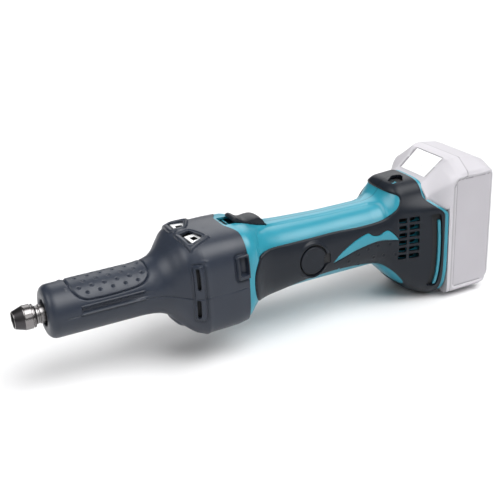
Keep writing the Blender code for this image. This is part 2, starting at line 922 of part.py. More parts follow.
def make_handle():
    outer = [ring(station) for station in HOUSING_STATIONS]
    hollow = [hollow_ring(station) for station in HOUSING_STATIONS]
    grip_outer = [ring(station, GRIP_PROUD) for station in HOUSING_STATIONS[1:]]
    grip_inner = [ring(station, GAP) for station in HOUSING_STATIONS[1:]]
    bay, slots, holes = handle_cutters()
    grille = grille_cutter()
    screws = screw_cutters()
    for (name, side), hole in zip(SIDES, holes):
        near, far = sorted((side * HALF_GAP, side * 60.0))
        half = box_cutter(f"{name}_half", ((150.0, near, -80.0), (380.0, far, 80.0)))
        housing = skin(f"{name}_housing", outer + hollow[::-1])
        cut(housing, half, "INTERSECT")
        for cutter in (bay, slots, hole, grille):
            cut(housing, cutter)
        for screw in screws:
            if side == LEFT:
                cut(cut(housing, screw["left_boss"], "UNION"), screw["pilot"])
            else:
                cut(cut(housing, screw["right_boss"], "UNION"), screw["bore"])
        finish_part(housing, "teal_plastic")

        grip = skin(f"{name}_grip", grip_outer + grip_inner[::-1])
        region = plate_cutter(
            f"{name}_grip_region",
            [grip_outline()],
            far - near,
            at=(0.0, (near + far) / 2, 0.0),
        )
        cut(grip, region, "INTERSECT")
        for cutter in (bay, slots, hole, grille):
            cut(grip, cutter)
        if side == RIGHT:
            for screw in screws:
                cut(grip, screw["bore"])
        finish_part(grip, "charcoal_elastomer")


def make_housing_screws():
    seat = SCREW_HEAD_SEAT + GAP
    for number, (x, z, _) in enumerate(SCREWS, start=1):
        turned_part(
            f"housing_screw_{number}",
            [
                (seat + 2.2, 0.0),
                (seat + 2.2, 2.6),
                (seat + 1.2, 3.3),
                (seat, 3.3),
                (seat, 1.3),
                (-10.0, 1.3),
                (-10.5, 0.0),
            ],
            "dark_steel",
            steps=12,
            rotation=TURNED_ALONG_Y,
            at=(x, 0.0, z),
        )


# ---------------------------------------------------------------- switch and electrics


def make_switch():
    pivot_x, pivot_z = SWITCH_PIVOT
    half_bar = BAR_WIDTH / 2
    knob_outline = [
        (178.4, 30.4),
        (178.4, 39.4),
        (173.4, 39.9),
        (172.6, 41.8),
        (174.2, 44.0),
        (176.6, 43.4),
        (180.0, 40.9),
        (184.0, 39.7),
        (190.0, 39.9),
        (194.0, 39.6),
        (198.0, 37.6),
        (203.0, 32.2),
        (203.0, 30.4),
    ]
    at_pivot = [(x - pivot_x, z - pivot_z) for x, z in knob_outline]
    knob = plate_part(
        "switch_knob",
        [at_pivot],
        KNOB_WIDTH,
        "charcoal_elastomer",
        at=(pivot_x, 0.0, pivot_z),
    )
    slot = box_cutter(
        "knob_slot_cutter",
        ((pivot_x - 5.0, -half_bar - 0.5, 29.0), (pivot_x + 5.0, half_bar + 0.5, 34.0)),
    )
    cut(knob, slot)
    round_edges(knob, 0.6, segments=1)
    bar_outline = [
        (178.0, BAR_BOTTOM),
        (178.0, BAR_TOP),
        (pivot_x - 3.0, BAR_TOP),
        (pivot_x - 3.0, pivot_z + 1.5),
        (pivot_x + 3.0, pivot_z + 1.5),
        (pivot_x + 3.0, BAR_TOP),
        (263.0, BAR_TOP),
        (263.0, 16.2),
        (259.0, 16.2),
        (259.0, BAR_BOTTOM),
    ]
    plate_part("switch_bar", [bar_outline], BAR_WIDTH, "black_plastic")
    box("switch_unit", (252.0, -7.0, -4.0), (282.0, 7.0, 15.8), "black_plastic", round_by=0.8)


def make_electrics():
    box("controller_board", (286.0, -11.0, -11.0), (324.0, 11.0, -9.4), "board_green")
    block = box("terminal_block", (327.0, -20.0, -28.0), (332.6, 20.0, 22.0), "black_plastic")
    blades = box_cutter(
        "terminal_blades",
        ((332.0, 13.6, -20.0), (345.0, 14.6, 8.0)),
        ((332.0, -14.6, -20.0), (345.0, -13.6, 8.0)),
    )
    cut(block, blades, "UNION")
    wire(
        "battery_lead",
        [(326.4, 8.0, 2.0), (318.0, 12.0, 4.0), (304.0, 13.0, 6.0), (292.0, 10.0, 8.0), (282.8, 4.0, 8.0)],
        1.2,
        "red_lead",
    )
    wire(
        "motor_lead",
        [(250.6, 3.0, 0.0), (249.4, 7.0, -1.0), (249.0, 12.0, -2.0), (249.0, 17.0, -3.0)],
        1.0,
        "black_plastic",
    )


# ---------------------------------------------------------------- battery pack


def pack_profile():
    """The pack's side view: sloped front shoulder, rounded crown and cut-off rear foot."""
    return [
        (BATTERY_FRONT, BLOCK_BOTTOM),
        (BATTERY_FRONT, 39.0),
        (363.0, 56.4),
        (370.0, 58.0),
        (388.0, 56.6),
        (397.5, 51.6),
        (BATTERY_REAR, 45.0),
        (BATTERY_REAR, -49.0),
        (393.5, BATTERY_BOTTOM),
        (BATTERY_SHOULDER, BATTERY_BOTTOM),
        (BATTERY_SHOULDER, BLOCK_BOTTOM),
    ]


def pack_plan():
    """The pack seen from above: the narrow mating block, then the full width."""
    corner = 4.0
    right_side = [
        (BATTERY_FRONT - 1.0, BLOCK_HALF_WIDTH),
        (RAIL_X[0], BLOCK_HALF_WIDTH),
        (RAIL_X[0], RAIL_HALF_WIDTH),
        (RAIL_X[1], RAIL_HALF_WIDTH),
        (RAIL_X[1], BLOCK_HALF_WIDTH),
        (BATTERY_SHOULDER, BLOCK_HALF_WIDTH),
        (BATTERY_SHOULDER, BATTERY_HALF_WIDTH),
        (BATTERY_REAR - corner, BATTERY_HALF_WIDTH),
        (BATTERY_REAR + 1.0, BATTERY_HALF_WIDTH - corner),
    ]
    return right_side + [(x, -y) for x, y in reversed(right_side)]


def make_pack_shell(name, front, rear, cavities):
    """One shell of the pack: its side view and its plan together, between two planes."""
    shell = plate(name, [pack_profile()], 2 * BATTERY_HALF_WIDTH + 2.0, PARTS)
    plan = plate_cutter(
        f"{name}_plan", [pack_plan()], 150.0, at=(0.0, 0.0, 0.0), rotation=(0.0, 0.0, 0.0)
    )
    cut(shell, plan, "INTERSECT")
    span = box_cutter(f"{name}_span", ((front, -60.0, -80.0), (rear, 60.0, 80.0)))
    cut(shell, span, "INTERSECT")
    for cavity in cavities:
        cut(shell, cavity)
    return finish_part(shell, "pale_plastic")


def make_battery():
    wall = 2.2
    inside = BATTERY_HALF_WIDTH - wall
    cells_room = box_cutter(
        "cell_room_cutter",
        ((BATTERY_SHOULDER + wall, -inside, -53.0), (BATTERY_REAR - wall, inside, 44.0)),
    )
    latch_room = plate_cutter(
        "latch_room_cutter",
        [[(350.0, 40.0), (346.2, 43.2), (358.0, 54.9), (368.0, 54.9), (372.5, 50.0), (372.5, 40.0)]],
        36.0,
    )
    window = plate_cutter(
        "button_window_cutter",
        [[(346.0, 38.6), (339.0, 50.0), (361.0, 66.0), (362.2, 48.0)]],
        33.0,
    )
    board_room = box_cutter("board_room_cutter", ((341.0, -21.0, -40.0), (358.0, 21.0, 24.0)))
    hook_room = box_cutter("hook_room_cutter", ((330.0, -7.0, 26.6), (356.2, 7.0, 44.0)))
    blade_slots = box_cutter(
        "blade_slot_cutter",
        ((330.0, 12.4, -70.0), (342.0, 15.8, 10.0)),
        ((330.0, -15.8, -70.0), (342.0, -12.4, 10.0)),
    )
    blade_depth = box_cutter(
        "blade_depth_cutter",
        ((341.0, 12.4, -70.0), (347.0, 15.8, 10.0)),
        ((341.0, -15.8, -70.0), (347.0, -12.4, 10.0)),
    )
    make_pack_shell(
        "battery_cover",
        BATTERY_FRONT - 1.0,
        BATTERY_SPLIT,
        (cells_room, latch_room, window, board_room, hook_room, blade_slots, blade_depth),
    )
    make_pack_shell("battery_case", BATTERY_SPLIT + GAP, BATTERY_REAR + 1.0, (cells_room,))

    latch = plate_part(
        "battery_latch",
        [
            [
                (347.6, 41.4),
                (346.6, 43.9),
                (360.6, 53.6),
                (361.4, 51.0),
                (352.0, 44.6),
                (349.0, 41.4),
            ]
        ],
        31.6,
        "white_plastic",
    )
    low, high = HOOK_HEIGHTS
    hook = plate(
        "latch_hook",
        [
            [
                (332.0, low),
                (332.0, high - 2.0),
                (334.0, high),
                (345.0, high),
                (348.0, 42.6),
                (351.0, 42.6),
                (351.0, low),
            ]
        ],
        12.0,
        CUTTERS,
    )
    cut(latch, hide_helper(hook), "UNION")

    for number, x in ((1, BATTERY_SHOULDER + 12.9), (2, BATTERY_SHOULDER + 32.2)):
        make_cell_row(f"cell_row_{number}", x)
    box("battery_board", (349.4, -19.0, -36.0), (351.0, 19.0, 22.0), "board_green")


def make_cell_row(name, x):
    """Five cells side by side, welded into one piece by the strip along each end."""
    half = CELL_LENGTH / 2
    middle = -4.0
    heights = [middle + CELL_PITCH * (index - 2) for index in range(5)]
    strips = mesh_from(
        name,
        lambda geometry: add_boxes(
            geometry,
            [((x - 4.0, -half + 0.2, heights[0]), (x + 4.0, half - 0.2, heights[-1]))],
        ),
    )
    place(strips, PARTS)
    middle_gap = box_cutter(
        f"{name}_strip_gap",
        ((x - 5.0, -half + 0.6, heights[0] - 1.0), (x + 5.0, half - 0.6, heights[-1] + 1.0)),
    )
    cell_outline = [(half, 0.0), (half, CELL_RADIUS), (-half, CELL_RADIUS), (-half, 0.0)]
    cut(strips, middle_gap)
    for index, z in enumerate(heights, start=1):
        cell = turned_cutter(
            f"{name}_cell_{index}",
            cell_outline,
            steps=16,
            rotation=TURNED_ALONG_Y,
            at=(x, 0.0, z),
        )
        cut(strips, cell, "UNION")
    finish_part(strips, "cell_wrap")


clear_scene()
PARTS = new_collection("die_grinder")
CUTTERS = new_collection("cutters")
ASSEMBLY = bpy.data.objects.new("grinder", None)
PARTS.objects.link(ASSEMBLY)
ASSEMBLY.location = Vector((-LENGTH / 2, 0.0, AXIS_HEIGHT)) * MM

make_spindle()
make_collet()
make_bearings()
make_bearing_box()
make_front_cover()
make_rotor()
make_stator()
make_brush_gear()
make_cap_covers()
make_handle()
make_housing_screws()
make_switch()
make_electrics()
make_battery()
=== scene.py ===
"""The looks of the cordless die grinder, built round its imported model.

Sizes are in millimetres in the tool's own frame: X runs back from the tip of the collet
nut, Z is up from the spindle axis, and negative Y is the left side. to_row turns such
points into the frame's metres.
"""

import json
import math

import bmesh
import bpy
import numpy as np
from mathutils import Matrix, Vector


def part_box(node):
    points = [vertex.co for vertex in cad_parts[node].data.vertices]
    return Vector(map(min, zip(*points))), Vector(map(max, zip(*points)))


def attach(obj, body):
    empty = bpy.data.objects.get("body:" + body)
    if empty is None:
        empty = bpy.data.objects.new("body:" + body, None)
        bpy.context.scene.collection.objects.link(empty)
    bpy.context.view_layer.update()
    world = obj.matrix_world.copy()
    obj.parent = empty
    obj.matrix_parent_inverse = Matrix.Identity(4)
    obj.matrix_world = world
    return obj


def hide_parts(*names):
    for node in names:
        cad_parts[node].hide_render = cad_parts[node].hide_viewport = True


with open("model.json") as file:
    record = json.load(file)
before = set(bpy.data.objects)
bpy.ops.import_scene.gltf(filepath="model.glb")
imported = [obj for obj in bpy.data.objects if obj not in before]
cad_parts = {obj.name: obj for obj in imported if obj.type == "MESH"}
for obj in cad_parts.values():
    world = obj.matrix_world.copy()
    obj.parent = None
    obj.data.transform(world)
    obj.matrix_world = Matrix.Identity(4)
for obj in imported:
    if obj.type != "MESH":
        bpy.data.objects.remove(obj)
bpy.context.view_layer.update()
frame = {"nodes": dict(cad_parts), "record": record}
nodes = frame["nodes"]

MM = 0.001
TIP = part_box("collet_nut")[0][0]
AXIS_Z = (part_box("spindle")[0][2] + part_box("spindle")[1][2]) / 2
LEFT, RIGHT = -1.0, 1.0
SIDES = (("left", LEFT), ("right", RIGHT))

# Main places along the tool.
COVER_REAR = 170.0
COVER_GAP = 0.3
HOUSING_FRONT = 163.0
HOUSING_REAR = 354.0
SEAM = 0.05
GRIP_PROUD = 1.3
NOSE_BORE = 9.9
NECK_RADIUS = 20.2
BRUSH_X = 231.0
CAP_RADIUS = 11.3
BATTERY_SPLIT = 372.0
STEP_LOW, STEP_HIGH = 20.0, 34.0
CREASE_ANGLE = math.radians(42.0)
# A distance that no relief reaches, for points where a feature doesn't apply.
FAR = 9.0
# Points beyond these are on a side face or on the top, where the vents are.
SIDE_FACE, TOP_FACE = 24.0, 26.0

# Stations of the skins: x, half width, half width above the step, top, bottom,
# squareness of the upper half and of the lower half.
COVER_STATIONS = (
    (29.0, 20.2, 20.2, 20.2, -20.2, 2.0, 2.0),
    (60.0, 20.2, 20.2, 20.2, -20.2, 2.0, 2.0),
    (92.0, 20.2, 20.2, 20.2, -20.2, 2.0, 2.0),
    (100.0, 21.0, 21.0, 21.0, -20.6, 2.0, 2.0),
    (107.0, 22.8, 22.8, 22.8, -21.8, 2.0, 2.0),
    (113.0, 25.8, 25.8, 26.2, -24.0, 2.1, 2.1),
    (119.0, 30.4, 30.4, 31.6, -29.6, 2.5, 2.4),
    (125.0, 34.2, 34.2, 36.4, -35.0, 3.0, 3.2),
    (131.0, 36.3, 36.3, 38.2, -38.2, 3.2, 4.4),
    (134.5, 37.3, 37.3, 38.5, -38.7, 3.3, 4.8),
    (136.5, 37.8, 37.8, 38.6, -38.8, 3.3, 5.0),
    (160.0, 37.8, 37.8, 38.8, -38.4, 3.3, 5.0),
    (COVER_REAR, 37.3, 37.3, 38.6, -37.2, 3.3, 4.8),
)
HOUSING_STATIONS = (
    (HOUSING_FRONT, 37.4, 37.4, 38.5, -37.6, 3.3, 4.8),
    (170.3, 36.9, 36.9, 38.2, -36.6, 3.3, 4.4),
    (174.0, 36.6, 36.6, 38.0, -34.6, 3.3, 3.9),
    (178.0, 35.2, 35.2, 37.2, -31.4, 3.2, 3.4),
    (185.0, 31.3, 31.3, 35.0, -28.8, 2.9, 2.9),
    (195.0, 29.0, 29.0, 32.0, -27.0, 2.7, 2.7),
    (210.0, 27.7, 27.7, 29.5, -26.3, 2.6, 2.6),
    (231.0, 26.7, 26.7, 28.5, -26.0, 2.5, 2.5),
    (260.0, 25.2, 25.2, 27.6, -26.4, 2.5, 2.5),
    (292.0, 25.2, 25.2, 27.6, -26.4, 2.5, 2.5),
    (297.0, 25.6, 25.6, 28.0, -27.0, 2.6, 2.6),
    (301.0, 26.1, 25.9, 28.8, -28.6, 2.6, 2.6),
    (305.0, 26.8, 26.0, 30.4, -31.4, 2.6, 2.7),
    (308.5, 27.5, 26.0, 33.6, -35.0, 2.8, 2.8),
    (312.0, 28.3, 26.0, 38.2, -38.7, 3.2, 3.0),
    (315.0, 28.9, 26.0, 40.8, -41.8, 3.6, 3.1),
    (318.5, 29.7, 26.0, 41.9, -45.3, 3.8, 3.2),
    (324.0, 30.9, 26.2, 42.2, -50.0, 3.9, 3.4),
    (335.0, 33.9, 27.0, 42.3, -57.9, 4.2, 3.7),
    (345.0, 36.6, 27.6, 42.3, -60.7, 4.6, 4.0),
    (HOUSING_REAR, 38.7, 28.0, 42.3, -60.7, 5.0, 4.2),
)


def to_row(points):
    """Points in the tool's millimetres as the frame's metres."""
    points = np.asarray(points, float)
    return points * MM + np.array((TIP, 0.0, AXIS_Z))


# ---------------------------------------------------------------- materials


def new_material(name, color, roughness, metallic=0.0, specular=0.5):
    material = bpy.data.materials.new(name)
    material.use_nodes = True
    shader = material.node_tree.nodes["Principled BSDF"]
    shader.inputs["Base Color"].default_value = (*color, 1.0)
    shader.inputs["Roughness"].default_value = roughness
    shader.inputs["Metallic"].default_value = metallic
    shader.inputs["Specular IOR Level"].default_value = specular
    return material, shader


def noise(tree, coordinates, scale, detail=3.0, stretch=None):
    """A noise texture over the object's own coordinates, stretched if asked."""
    texture = tree.nodes.new("ShaderNodeTexNoise")
    texture.inputs["Scale"].default_value = scale
    texture.inputs["Detail"].default_value = detail
    source = coordinates.outputs["Object"]
    if stretch:
        mapping = tree.nodes.new("ShaderNodeMapping")
        mapping.inputs["Scale"].default_value = stretch
        tree.links.new(source, mapping.inputs["Vector"])
        source = mapping.outputs["Vector"]
    tree.links.new(source, texture.inputs["Vector"])
    return texture.outputs["Fac"]


def spread(tree, value, low, high, start=0.35, end=0.65):
    """The value from start to end, stretched to run from low to high."""
    node = tree.nodes.new("ShaderNodeMapRange")
    for socket, number in zip(("From Min", "From Max", "To Min", "To Max"), (start, end, low, high)):
        node.inputs[socket].default_value = number
    tree.links.new(value, node.inputs["Value"])
    return node.outputs["Result"]


def blend_colors(tree, factor, first, second):
    node = tree.nodes.new("ShaderNodeMix")
    node.data_type = "RGBA"
    tree.links.new(factor, node.inputs["Factor"])
    for socket, color in ((node.inputs[6], first), (node.inputs[7], second)):
        if isinstance(color, bpy.types.NodeSocket):
            tree.links.new(color, socket)
        else:
            socket.default_value = (*color, 1.0)
    return node.outputs[2]


def roughen(tree, shader, height, strength, distance):
    """Bump the surface by the height pattern."""
    bump = tree.nodes.new("ShaderNodeBump")
    bump.inputs["Strength"].default_value = strength
    bump.inputs["Distance"].default_value = distance
    tree.links.new(height, bump.inputs["Height"])
    tree.links.new(bump.outputs["Normal"], shader.inputs["Normal"])


def textured(name, color, roughness, metallic=0.0, mottle=0.08, grain=0.0, grain_scale=1600.0,
             wear=0.0, stretch=None, specular=0.5):
    """A finish with uneven colour and gloss, a fine grain, painted shade in its hollows and worn edges.
    """
    material, shader = new_material(name, color, roughness, metallic, specular)
    tree = material.node_tree
    coordinates = tree.nodes.new("ShaderNodeTexCoord")
    broad = noise(tree, coordinates, 28.0, 4.0)
    darker = tuple(channel * (1.0 - mottle) for channel in color)
    lighter = tuple(min(1.0, channel * (1.0 + mottle)) for channel in color)
    tint = blend_colors(tree, spread(tree, broad, 0.0, 1.0), darker, lighter)
    geometry = tree.nodes.new("ShaderNodeNewGeometry")
    # Painted shade: concave places, found by pointiness, are darkened towards a quarter of the colour.
    hollows = spread(tree, geometry.outputs["Pointiness"], 0.75, 0.0, 0.42, 0.485)
    painted_hollow_shade = tuple(channel * 0.25 for channel in color)
    tint = blend_colors(tree, hollows, tint, painted_hollow_shade)
    if wear:
        edges = spread(tree, geometry.outputs["Pointiness"], 0.0, wear, 0.52, 0.60)
        worn = tuple(min(1.0, channel * 1.7 + 0.03) for channel in color)
        tint = blend_colors(tree, edges, tint, worn)
    tree.links.new(tint, shader.inputs["Base Color"])
    fine = noise(tree, coordinates, grain_scale, 2.0, stretch)
    smudges = noise(tree, coordinates, 60.0, 2.0)
    gloss = spread(tree, smudges, roughness * 0.88, min(1.0, roughness * 1.14), 0.15, 0.85)
    tree.links.new(gloss, shader.inputs["Roughness"])
    if grain:
        roughen(tree, shader, fine, grain, 0.12 * MM)
    return material


def banded(name, first, second, roughness, metallic, bands):
    """Turned or wound material whose colour changes in fine bands along X."""
    material, shader = new_material(name, first, roughness, metallic)
    tree = material.node_tree
    coordinates = tree.nodes.new("ShaderNodeTexCoord")
    wave = tree.nodes.new("ShaderNodeTexWave")
    wave.inputs["Scale"].default_value = bands
    wave.inputs["Distortion"].default_value = 0.6
    tree.links.new(coordinates.outputs["Object"], wave.inputs["Vector"])
    tree.links.new(blend_colors(tree, wave.outputs["Fac"], first, second), shader.inputs["Base Color"])
    roughen(tree, shader, wave.outputs["Fac"], 0.25, 0.2 * MM)
    return material


# Turned metal: fine marks that run round X.
TURNED = {"metallic": 1.0, "grain_scale": 300.0, "stretch": (30.0, 1.0, 1.0)}
FINISHES = {
    "slate_elastomer": textured(
        "slate elastomer", (0.018, 0.024, 0.038), 0.38, mottle=0.06, grain=0.3, grain_scale=2600.0,
        wear=0.3, specular=0.42,
    ),
    "teal_plastic": textured(
        "teal plastic", (0.022, 0.245, 0.330), 0.30, mottle=0.025, grain=0.08, grain_scale=900.0
    ),
    "charcoal_elastomer": textured(
        "charcoal elastomer", (0.009, 0.012, 0.018), 0.38, mottle=0.05, grain=0.35, grain_scale=2800.0,
        wear=0.2, specular=0.24,
    ),
    "black_plastic": textured("black plastic", (0.014, 0.014, 0.016), 0.42, grain=0.25),
    "pale_plastic": textured(
        "pale plastic", (0.52, 0.505, 0.535), 0.50, mottle=0.015, grain=0.15, grain_scale=2200.0,
        specular=0.25,
    ),
    "pale_panel": textured(
        "pale panel", (0.455, 0.44, 0.47), 0.42, mottle=0.02, grain=0.1, grain_scale=2200.0,
        specular=0.3,
    ),
    "white_plastic": textured("white plastic", (0.88, 0.88, 0.89), 0.36, mottle=0.01, grain=0.1),
    "aluminium": textured("cast aluminium", (0.72, 0.73, 0.75), 0.34, 1.0, mottle=0.06, grain=0.5),
    # Near white and mostly diffuse: the bright metal's glints are painted into its colour.
    "vent_metal": textured("vent frame whitened as painted glint", (0.88, 0.89, 0.90), 0.28, 0.3, mottle=0.03, grain=0.1),
    # Lighter than the nut's own dark steel: a painted highlight on the nut's band.
    "nut_steel": textured(
        "nut steel lightened as painted highlight", (0.21, 0.20, 0.20), 0.25, mottle=0.10, grain=0.04, wear=0.6, **TURNED
    ),
    "dark_steel": textured(
        "blackened steel", (0.060, 0.057, 0.060), 0.36, mottle=0.10, grain=0.06, wear=0.8, **TURNED
    ),
    # Near black: painted shade on the collet's jaws in the nut's mouth.
    "collet_shade_steel": textured(
        "collet steel darkened as painted shade", (0.035, 0.034, 0.036), 0.46, 0.6, mottle=0.10, grain=0.1,
        grain_scale=300.0, wear=0.3,
    ),
    "bright_steel": textured(
        "ground steel", (0.26, 0.25, 0.25), 0.28, mottle=0.06, grain=0.04, wear=0.4, **TURNED
    ),
    "copper": banded("copper winding", (0.60, 0.24, 0.10), (0.36, 0.13, 0.05), 0.34, 0.9, 220.0),
    "brass": textured("pressed brass", (0.72, 0.52, 0.22), 0.33, 1.0, mottle=0.08, grain=0.2),
    "carbon": textured("pressed carbon", (0.02, 0.02, 0.02), 0.68, mottle=0.2, grain=0.5),
    "magnet": textured("ferrite", (0.07, 0.07, 0.075), 0.55, 0.2, mottle=0.15, grain=0.5),
    "board_green": banded(
        "circuit board", (0.018, 0.13, 0.055), (0.03, 0.18, 0.08), 0.38, 0.0, 160.0
    ),
    "cell_wrap": textured("cell sleeve", (0.05, 0.20, 0.13), 0.32, mottle=0.05, grain=0.1),
    "red_lead": textured("red lead", (0.45, 0.02, 0.015), 0.42, mottle=0.05, grain=0.2),
    # Near black. The liners, cap wells, flange slot floor, nut bore and front cover's inside drawn in
    # it are painted shade.
    "inner_dark": textured(
        "inside of the shell", (0.010, 0.011, 0.013), 0.70, mottle=0.2, grain=0.4
    ),
}


def dress_cad_nodes():
    """Give every CAD node the finish of its slot."""
    slots = {entry["node"]: entry["material_slot"] for entry in frame["record"]["subparts"]}
    for name, obj in nodes.items():
        for index in range(len(obj.material_slots)):
            obj.material_slots[index].material = FINISHES[slots[name]]


# ---------------------------------------------------------------- mesh tools


def mesh_piece(name, points, faces, body, slot, replaced=(), finish=None):
    """A smooth shaded piece on a body, from points in the tool's millimetres."""
    mesh = bpy.data.meshes.new(name)
    mesh.from_pydata(to_row(points).tolist(), [], faces)
    mesh.validate()
    obj = bpy.data.objects.new(name, mesh)
    return dress_piece(obj, body, slot, replaced, finish)


def dress_piece(obj, body, slot, replaced=(), finish=None):
    """Put the piece on its body, in the finish of its slot unless another is named."""
    bpy.context.scene.collection.objects.link(obj)
    obj.data.shade_smooth()
    obj.data.set_sharp_from_angle(angle=CREASE_ANGLE)
    obj.data.materials.clear()
    obj.data.materials.append(FINISHES[finish or slot])
    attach(obj, body)
    if replaced:
        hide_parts(*replaced)
    return obj


def smoothstep(value):
    value = np.clip(value, 0.0, 1.0)
    return value * value * (3.0 - 2.0 * value)


def smooth_columns(stations, x):
    """Each column of the stations at the places x, on curves that don't overshoot."""
    table = np.array(stations)
    knots, values = table[:, 0], table[:, 1:]
    step = np.diff(knots)[:, None]
    slope = np.diff(values, axis=0) / step
    tangent = np.zeros_like(values)
    same_way = slope[:-1] * slope[1:] > 0
    with np.errstate(divide="ignore", invalid="ignore"):
        harmonic = 2.0 * slope[:-1] * slope[1:] / (slope[:-1] + slope[1:])
    tangent[1:-1] = np.where(same_way, harmonic, 0.0)
    tangent[0], tangent[-1] = slope[0], slope[-1]
    index = np.clip(np.searchsorted(knots, x) - 1, 0, len(knots) - 2)
    width = step[index]
    t = ((x - knots[index]) / width[:, 0])[:, None]
    start, end = values[index], values[index + 1]
    return (
        (2 * t**3 - 3 * t**2 + 1) * start
        + (t**3 - 2 * t**2 + t) * width * tangent[index]
        + (-2 * t**3 + 3 * t**2) * end
        + (t**3 - t**2) * width * tangent[index + 1]
    )


def width_at(z, half_width, step_width):
    """The section's half width at height z: it changes over the step."""
    ease = smoothstep((z - STEP_LOW) / (STEP_HIGH - STEP_LOW))
    return half_width + (step_width - half_width) * ease


def skin_grid(stations, x, per_quarter):
    """Points (rows, columns, 3) on the skin: even steps round each quarter of each section."""
    half_width, step_width, top, bottom, top_power, bottom_power = (
        column[:, None] for column in smooth_columns(stations, x).T
    )
    u = np.linspace(0.0, 1.0, 241)
    warped = u**3 / (u**3 + (1.0 - u) ** 3)
    rows = []
    for quarter in range(4):
        angle = (quarter + warped) * math.pi / 2
        across, up = (
            np.where(np.abs(value) < 1e-9, 0.0, value) for value in (np.cos(angle), np.sin(angle))
        )
        middle, half_height = (top + bottom) / 2, (top - bottom) / 2
        power = 2.0 / (top_power if quarter < 2 else bottom_power)
        z = middle + np.sign(up) * half_height * np.abs(up) ** power
        y = np.sign(across) * width_at(z, half_width, step_width) * np.abs(across) ** power
        length = np.hypot(np.diff(y, axis=1), np.diff(z, axis=1)).cumsum(axis=1)
        length = np.concatenate([np.zeros((len(x), 1)), length], axis=1)
        even = np.linspace(0.0, 1.0, per_quarter, endpoint=False)
        part = np.empty((len(x), per_quarter, 3))
        for row in range(len(x)):
            wanted = even * length[row, -1]
            part[row, :, 0] = x[row]
            part[row, :, 1] = np.interp(wanted, length[row], y[row])
            part[row, :, 2] = np.interp(wanted, length[row], z[row])
        rows.append(part)
    return np.concatenate(rows, axis=1)


def resample(profile, count):
    """Each column of the profile at count even steps along its list of points."""
    profile = np.array(profile)
    steps = np.linspace(0, len(profile) - 1, count)
    return [np.interp(steps, np.arange(len(profile)), column)[:, None] for column in profile.T]


def turned(along, radius, angle):
    """A grid turned about X, from a column of places along it and their radius."""
    return np.stack([along + 0 * angle, radius * np.cos(angle), radius * np.sin(angle)], axis=-1)


def grid_normals(points):
    """Outward normals of a grid whose columns run round a closed section."""
    along = np.gradient(points, axis=0)
    round_it = np.roll(points, -1, axis=1) - np.roll(points, 1, axis=1)
    normals = np.cross(along, round_it)
    normals /= np.linalg.norm(normals, axis=2, keepdims=True) + 1e-12
    return -normals if (normals[:, 0, 1] * np.sign(points[:, 0, 1])).sum() < 0 else normals


def grid_triangles(rows, columns):
    """The triangles of a grid whose columns run round and close."""
    row, column = np.meshgrid(np.arange(rows - 1), np.arange(columns), indexing="ij")
    after = (column + 1) % columns
    a, b = row * columns + column, row * columns + after
    c, d = (row + 1) * columns + after, (row + 1) * columns + column
    quads = np.stack([a, d, c, b], axis=-1).reshape(-1, 4)
    return np.concatenate([quads[:, [0, 1, 2]], quads[:, [0, 2, 3]]])


def clip(values, triangles, field):
    """The part of the mesh where field is negative. values holds one row for each point."""
    field = np.where(np.abs(field) < 0.03, -0.001, field)
    inside = field < 0
    count = inside[triangles].sum(axis=1)
    kept = [triangles[count == 3]]
    new_values, made = [], {}

    def crossing(keep, drop):
        key = (keep, drop)
        if key not in made:
            share = field[keep] / (field[keep] - field[drop])
            made[key] = len(values) + len(new_values)
            new_values.append(values[keep] + (values[drop] - values[keep]) * share)
        return made[key]

    for triangle in triangles[(count == 1) | (count == 2)].tolist():
        flags = [bool(inside[corner]) for corner in triangle]
        lone = flags.index(sum(flags) == 1)
        a, b, c = (triangle[(lone + step) % 3] for step in range(3))
        if flags[lone]:
            kept.append([[a, crossing(a, b), crossing(a, c)]])
        else:
            near, far = crossing(b, a), crossing(c, a)
            kept.append([[near, b, c], [near, c, far]])
    values = np.concatenate([values, np.array(new_values).reshape(-1, values.shape[1])])
    triangles = np.concatenate(kept)
    used, renamed = np.unique(triangles, return_inverse=True)
    return values[used], renamed.reshape(-1, 3)


def roll_in(points, normals, triangles, depth):
    """Add a wall along every open edge, going in against the normals."""
    edges = np.concatenate([triangles[:, [0, 1]], triangles[:, [1, 2]], triangles[:, [2, 0]]])
    ordered = np.sort(edges, axis=1)
    _, first, count = np.unique(ordered, axis=0, return_index=True, return_counts=True)
    rim = edges[first[count == 1]]
    corners = np.unique(rim)
    lower = {int(corner): len(points) + index for index, corner in enumerate(corners)}
    points = np.concatenate([points, points[corners] - normals[corners] * depth])
    walls = [[b, a, lower[a], lower[b]] for a, b in rim.tolist()]
    return points, triangles.tolist() + walls


def skin_piece(name, grid, normals, field, wall, body, slot, replaced=(), finish=None):
    """One piece of a skin: the grid where field is negative, with walls along its edges."""
    rows, columns = grid.shape[:2]
    values = np.concatenate([grid.reshape(-1, 3), normals.reshape(-1, 3)], axis=1)
    values, triangles = clip(values, grid_triangles(rows, columns), field.reshape(-1))
    points, faces = roll_in(values[:, :3], values[:, 3:], triangles, wall)
    return mesh_piece(name, points, faces, body, slot, replaced, finish)


def outline_distance(outline, x, z):
    """Distance from a closed outline, negative inside it."""
    nearest = np.full(np.shape(x), 1e12)
    inside = np.zeros(np.shape(x), bool)
    for (ax, az), (bx, bz) in zip(outline, np.roll(outline, -1, axis=0)):
        dx, dz = bx - ax, bz - az
        along = np.clip(((x - ax) * dx + (z - az) * dz) / (dx * dx + dz * dz + 1e-12), 0, 1)
        nearest = np.minimum(nearest, (x - ax - along * dx) ** 2 + (z - az - along * dz) ** 2)
        if abs(dz) > 1e-9:
            inside ^= ((az > z) != (bz > z)) & (x < ax + (z - az) * dx / dz)
    return np.where(inside, -1.0, 1.0) * np.sqrt(nearest)


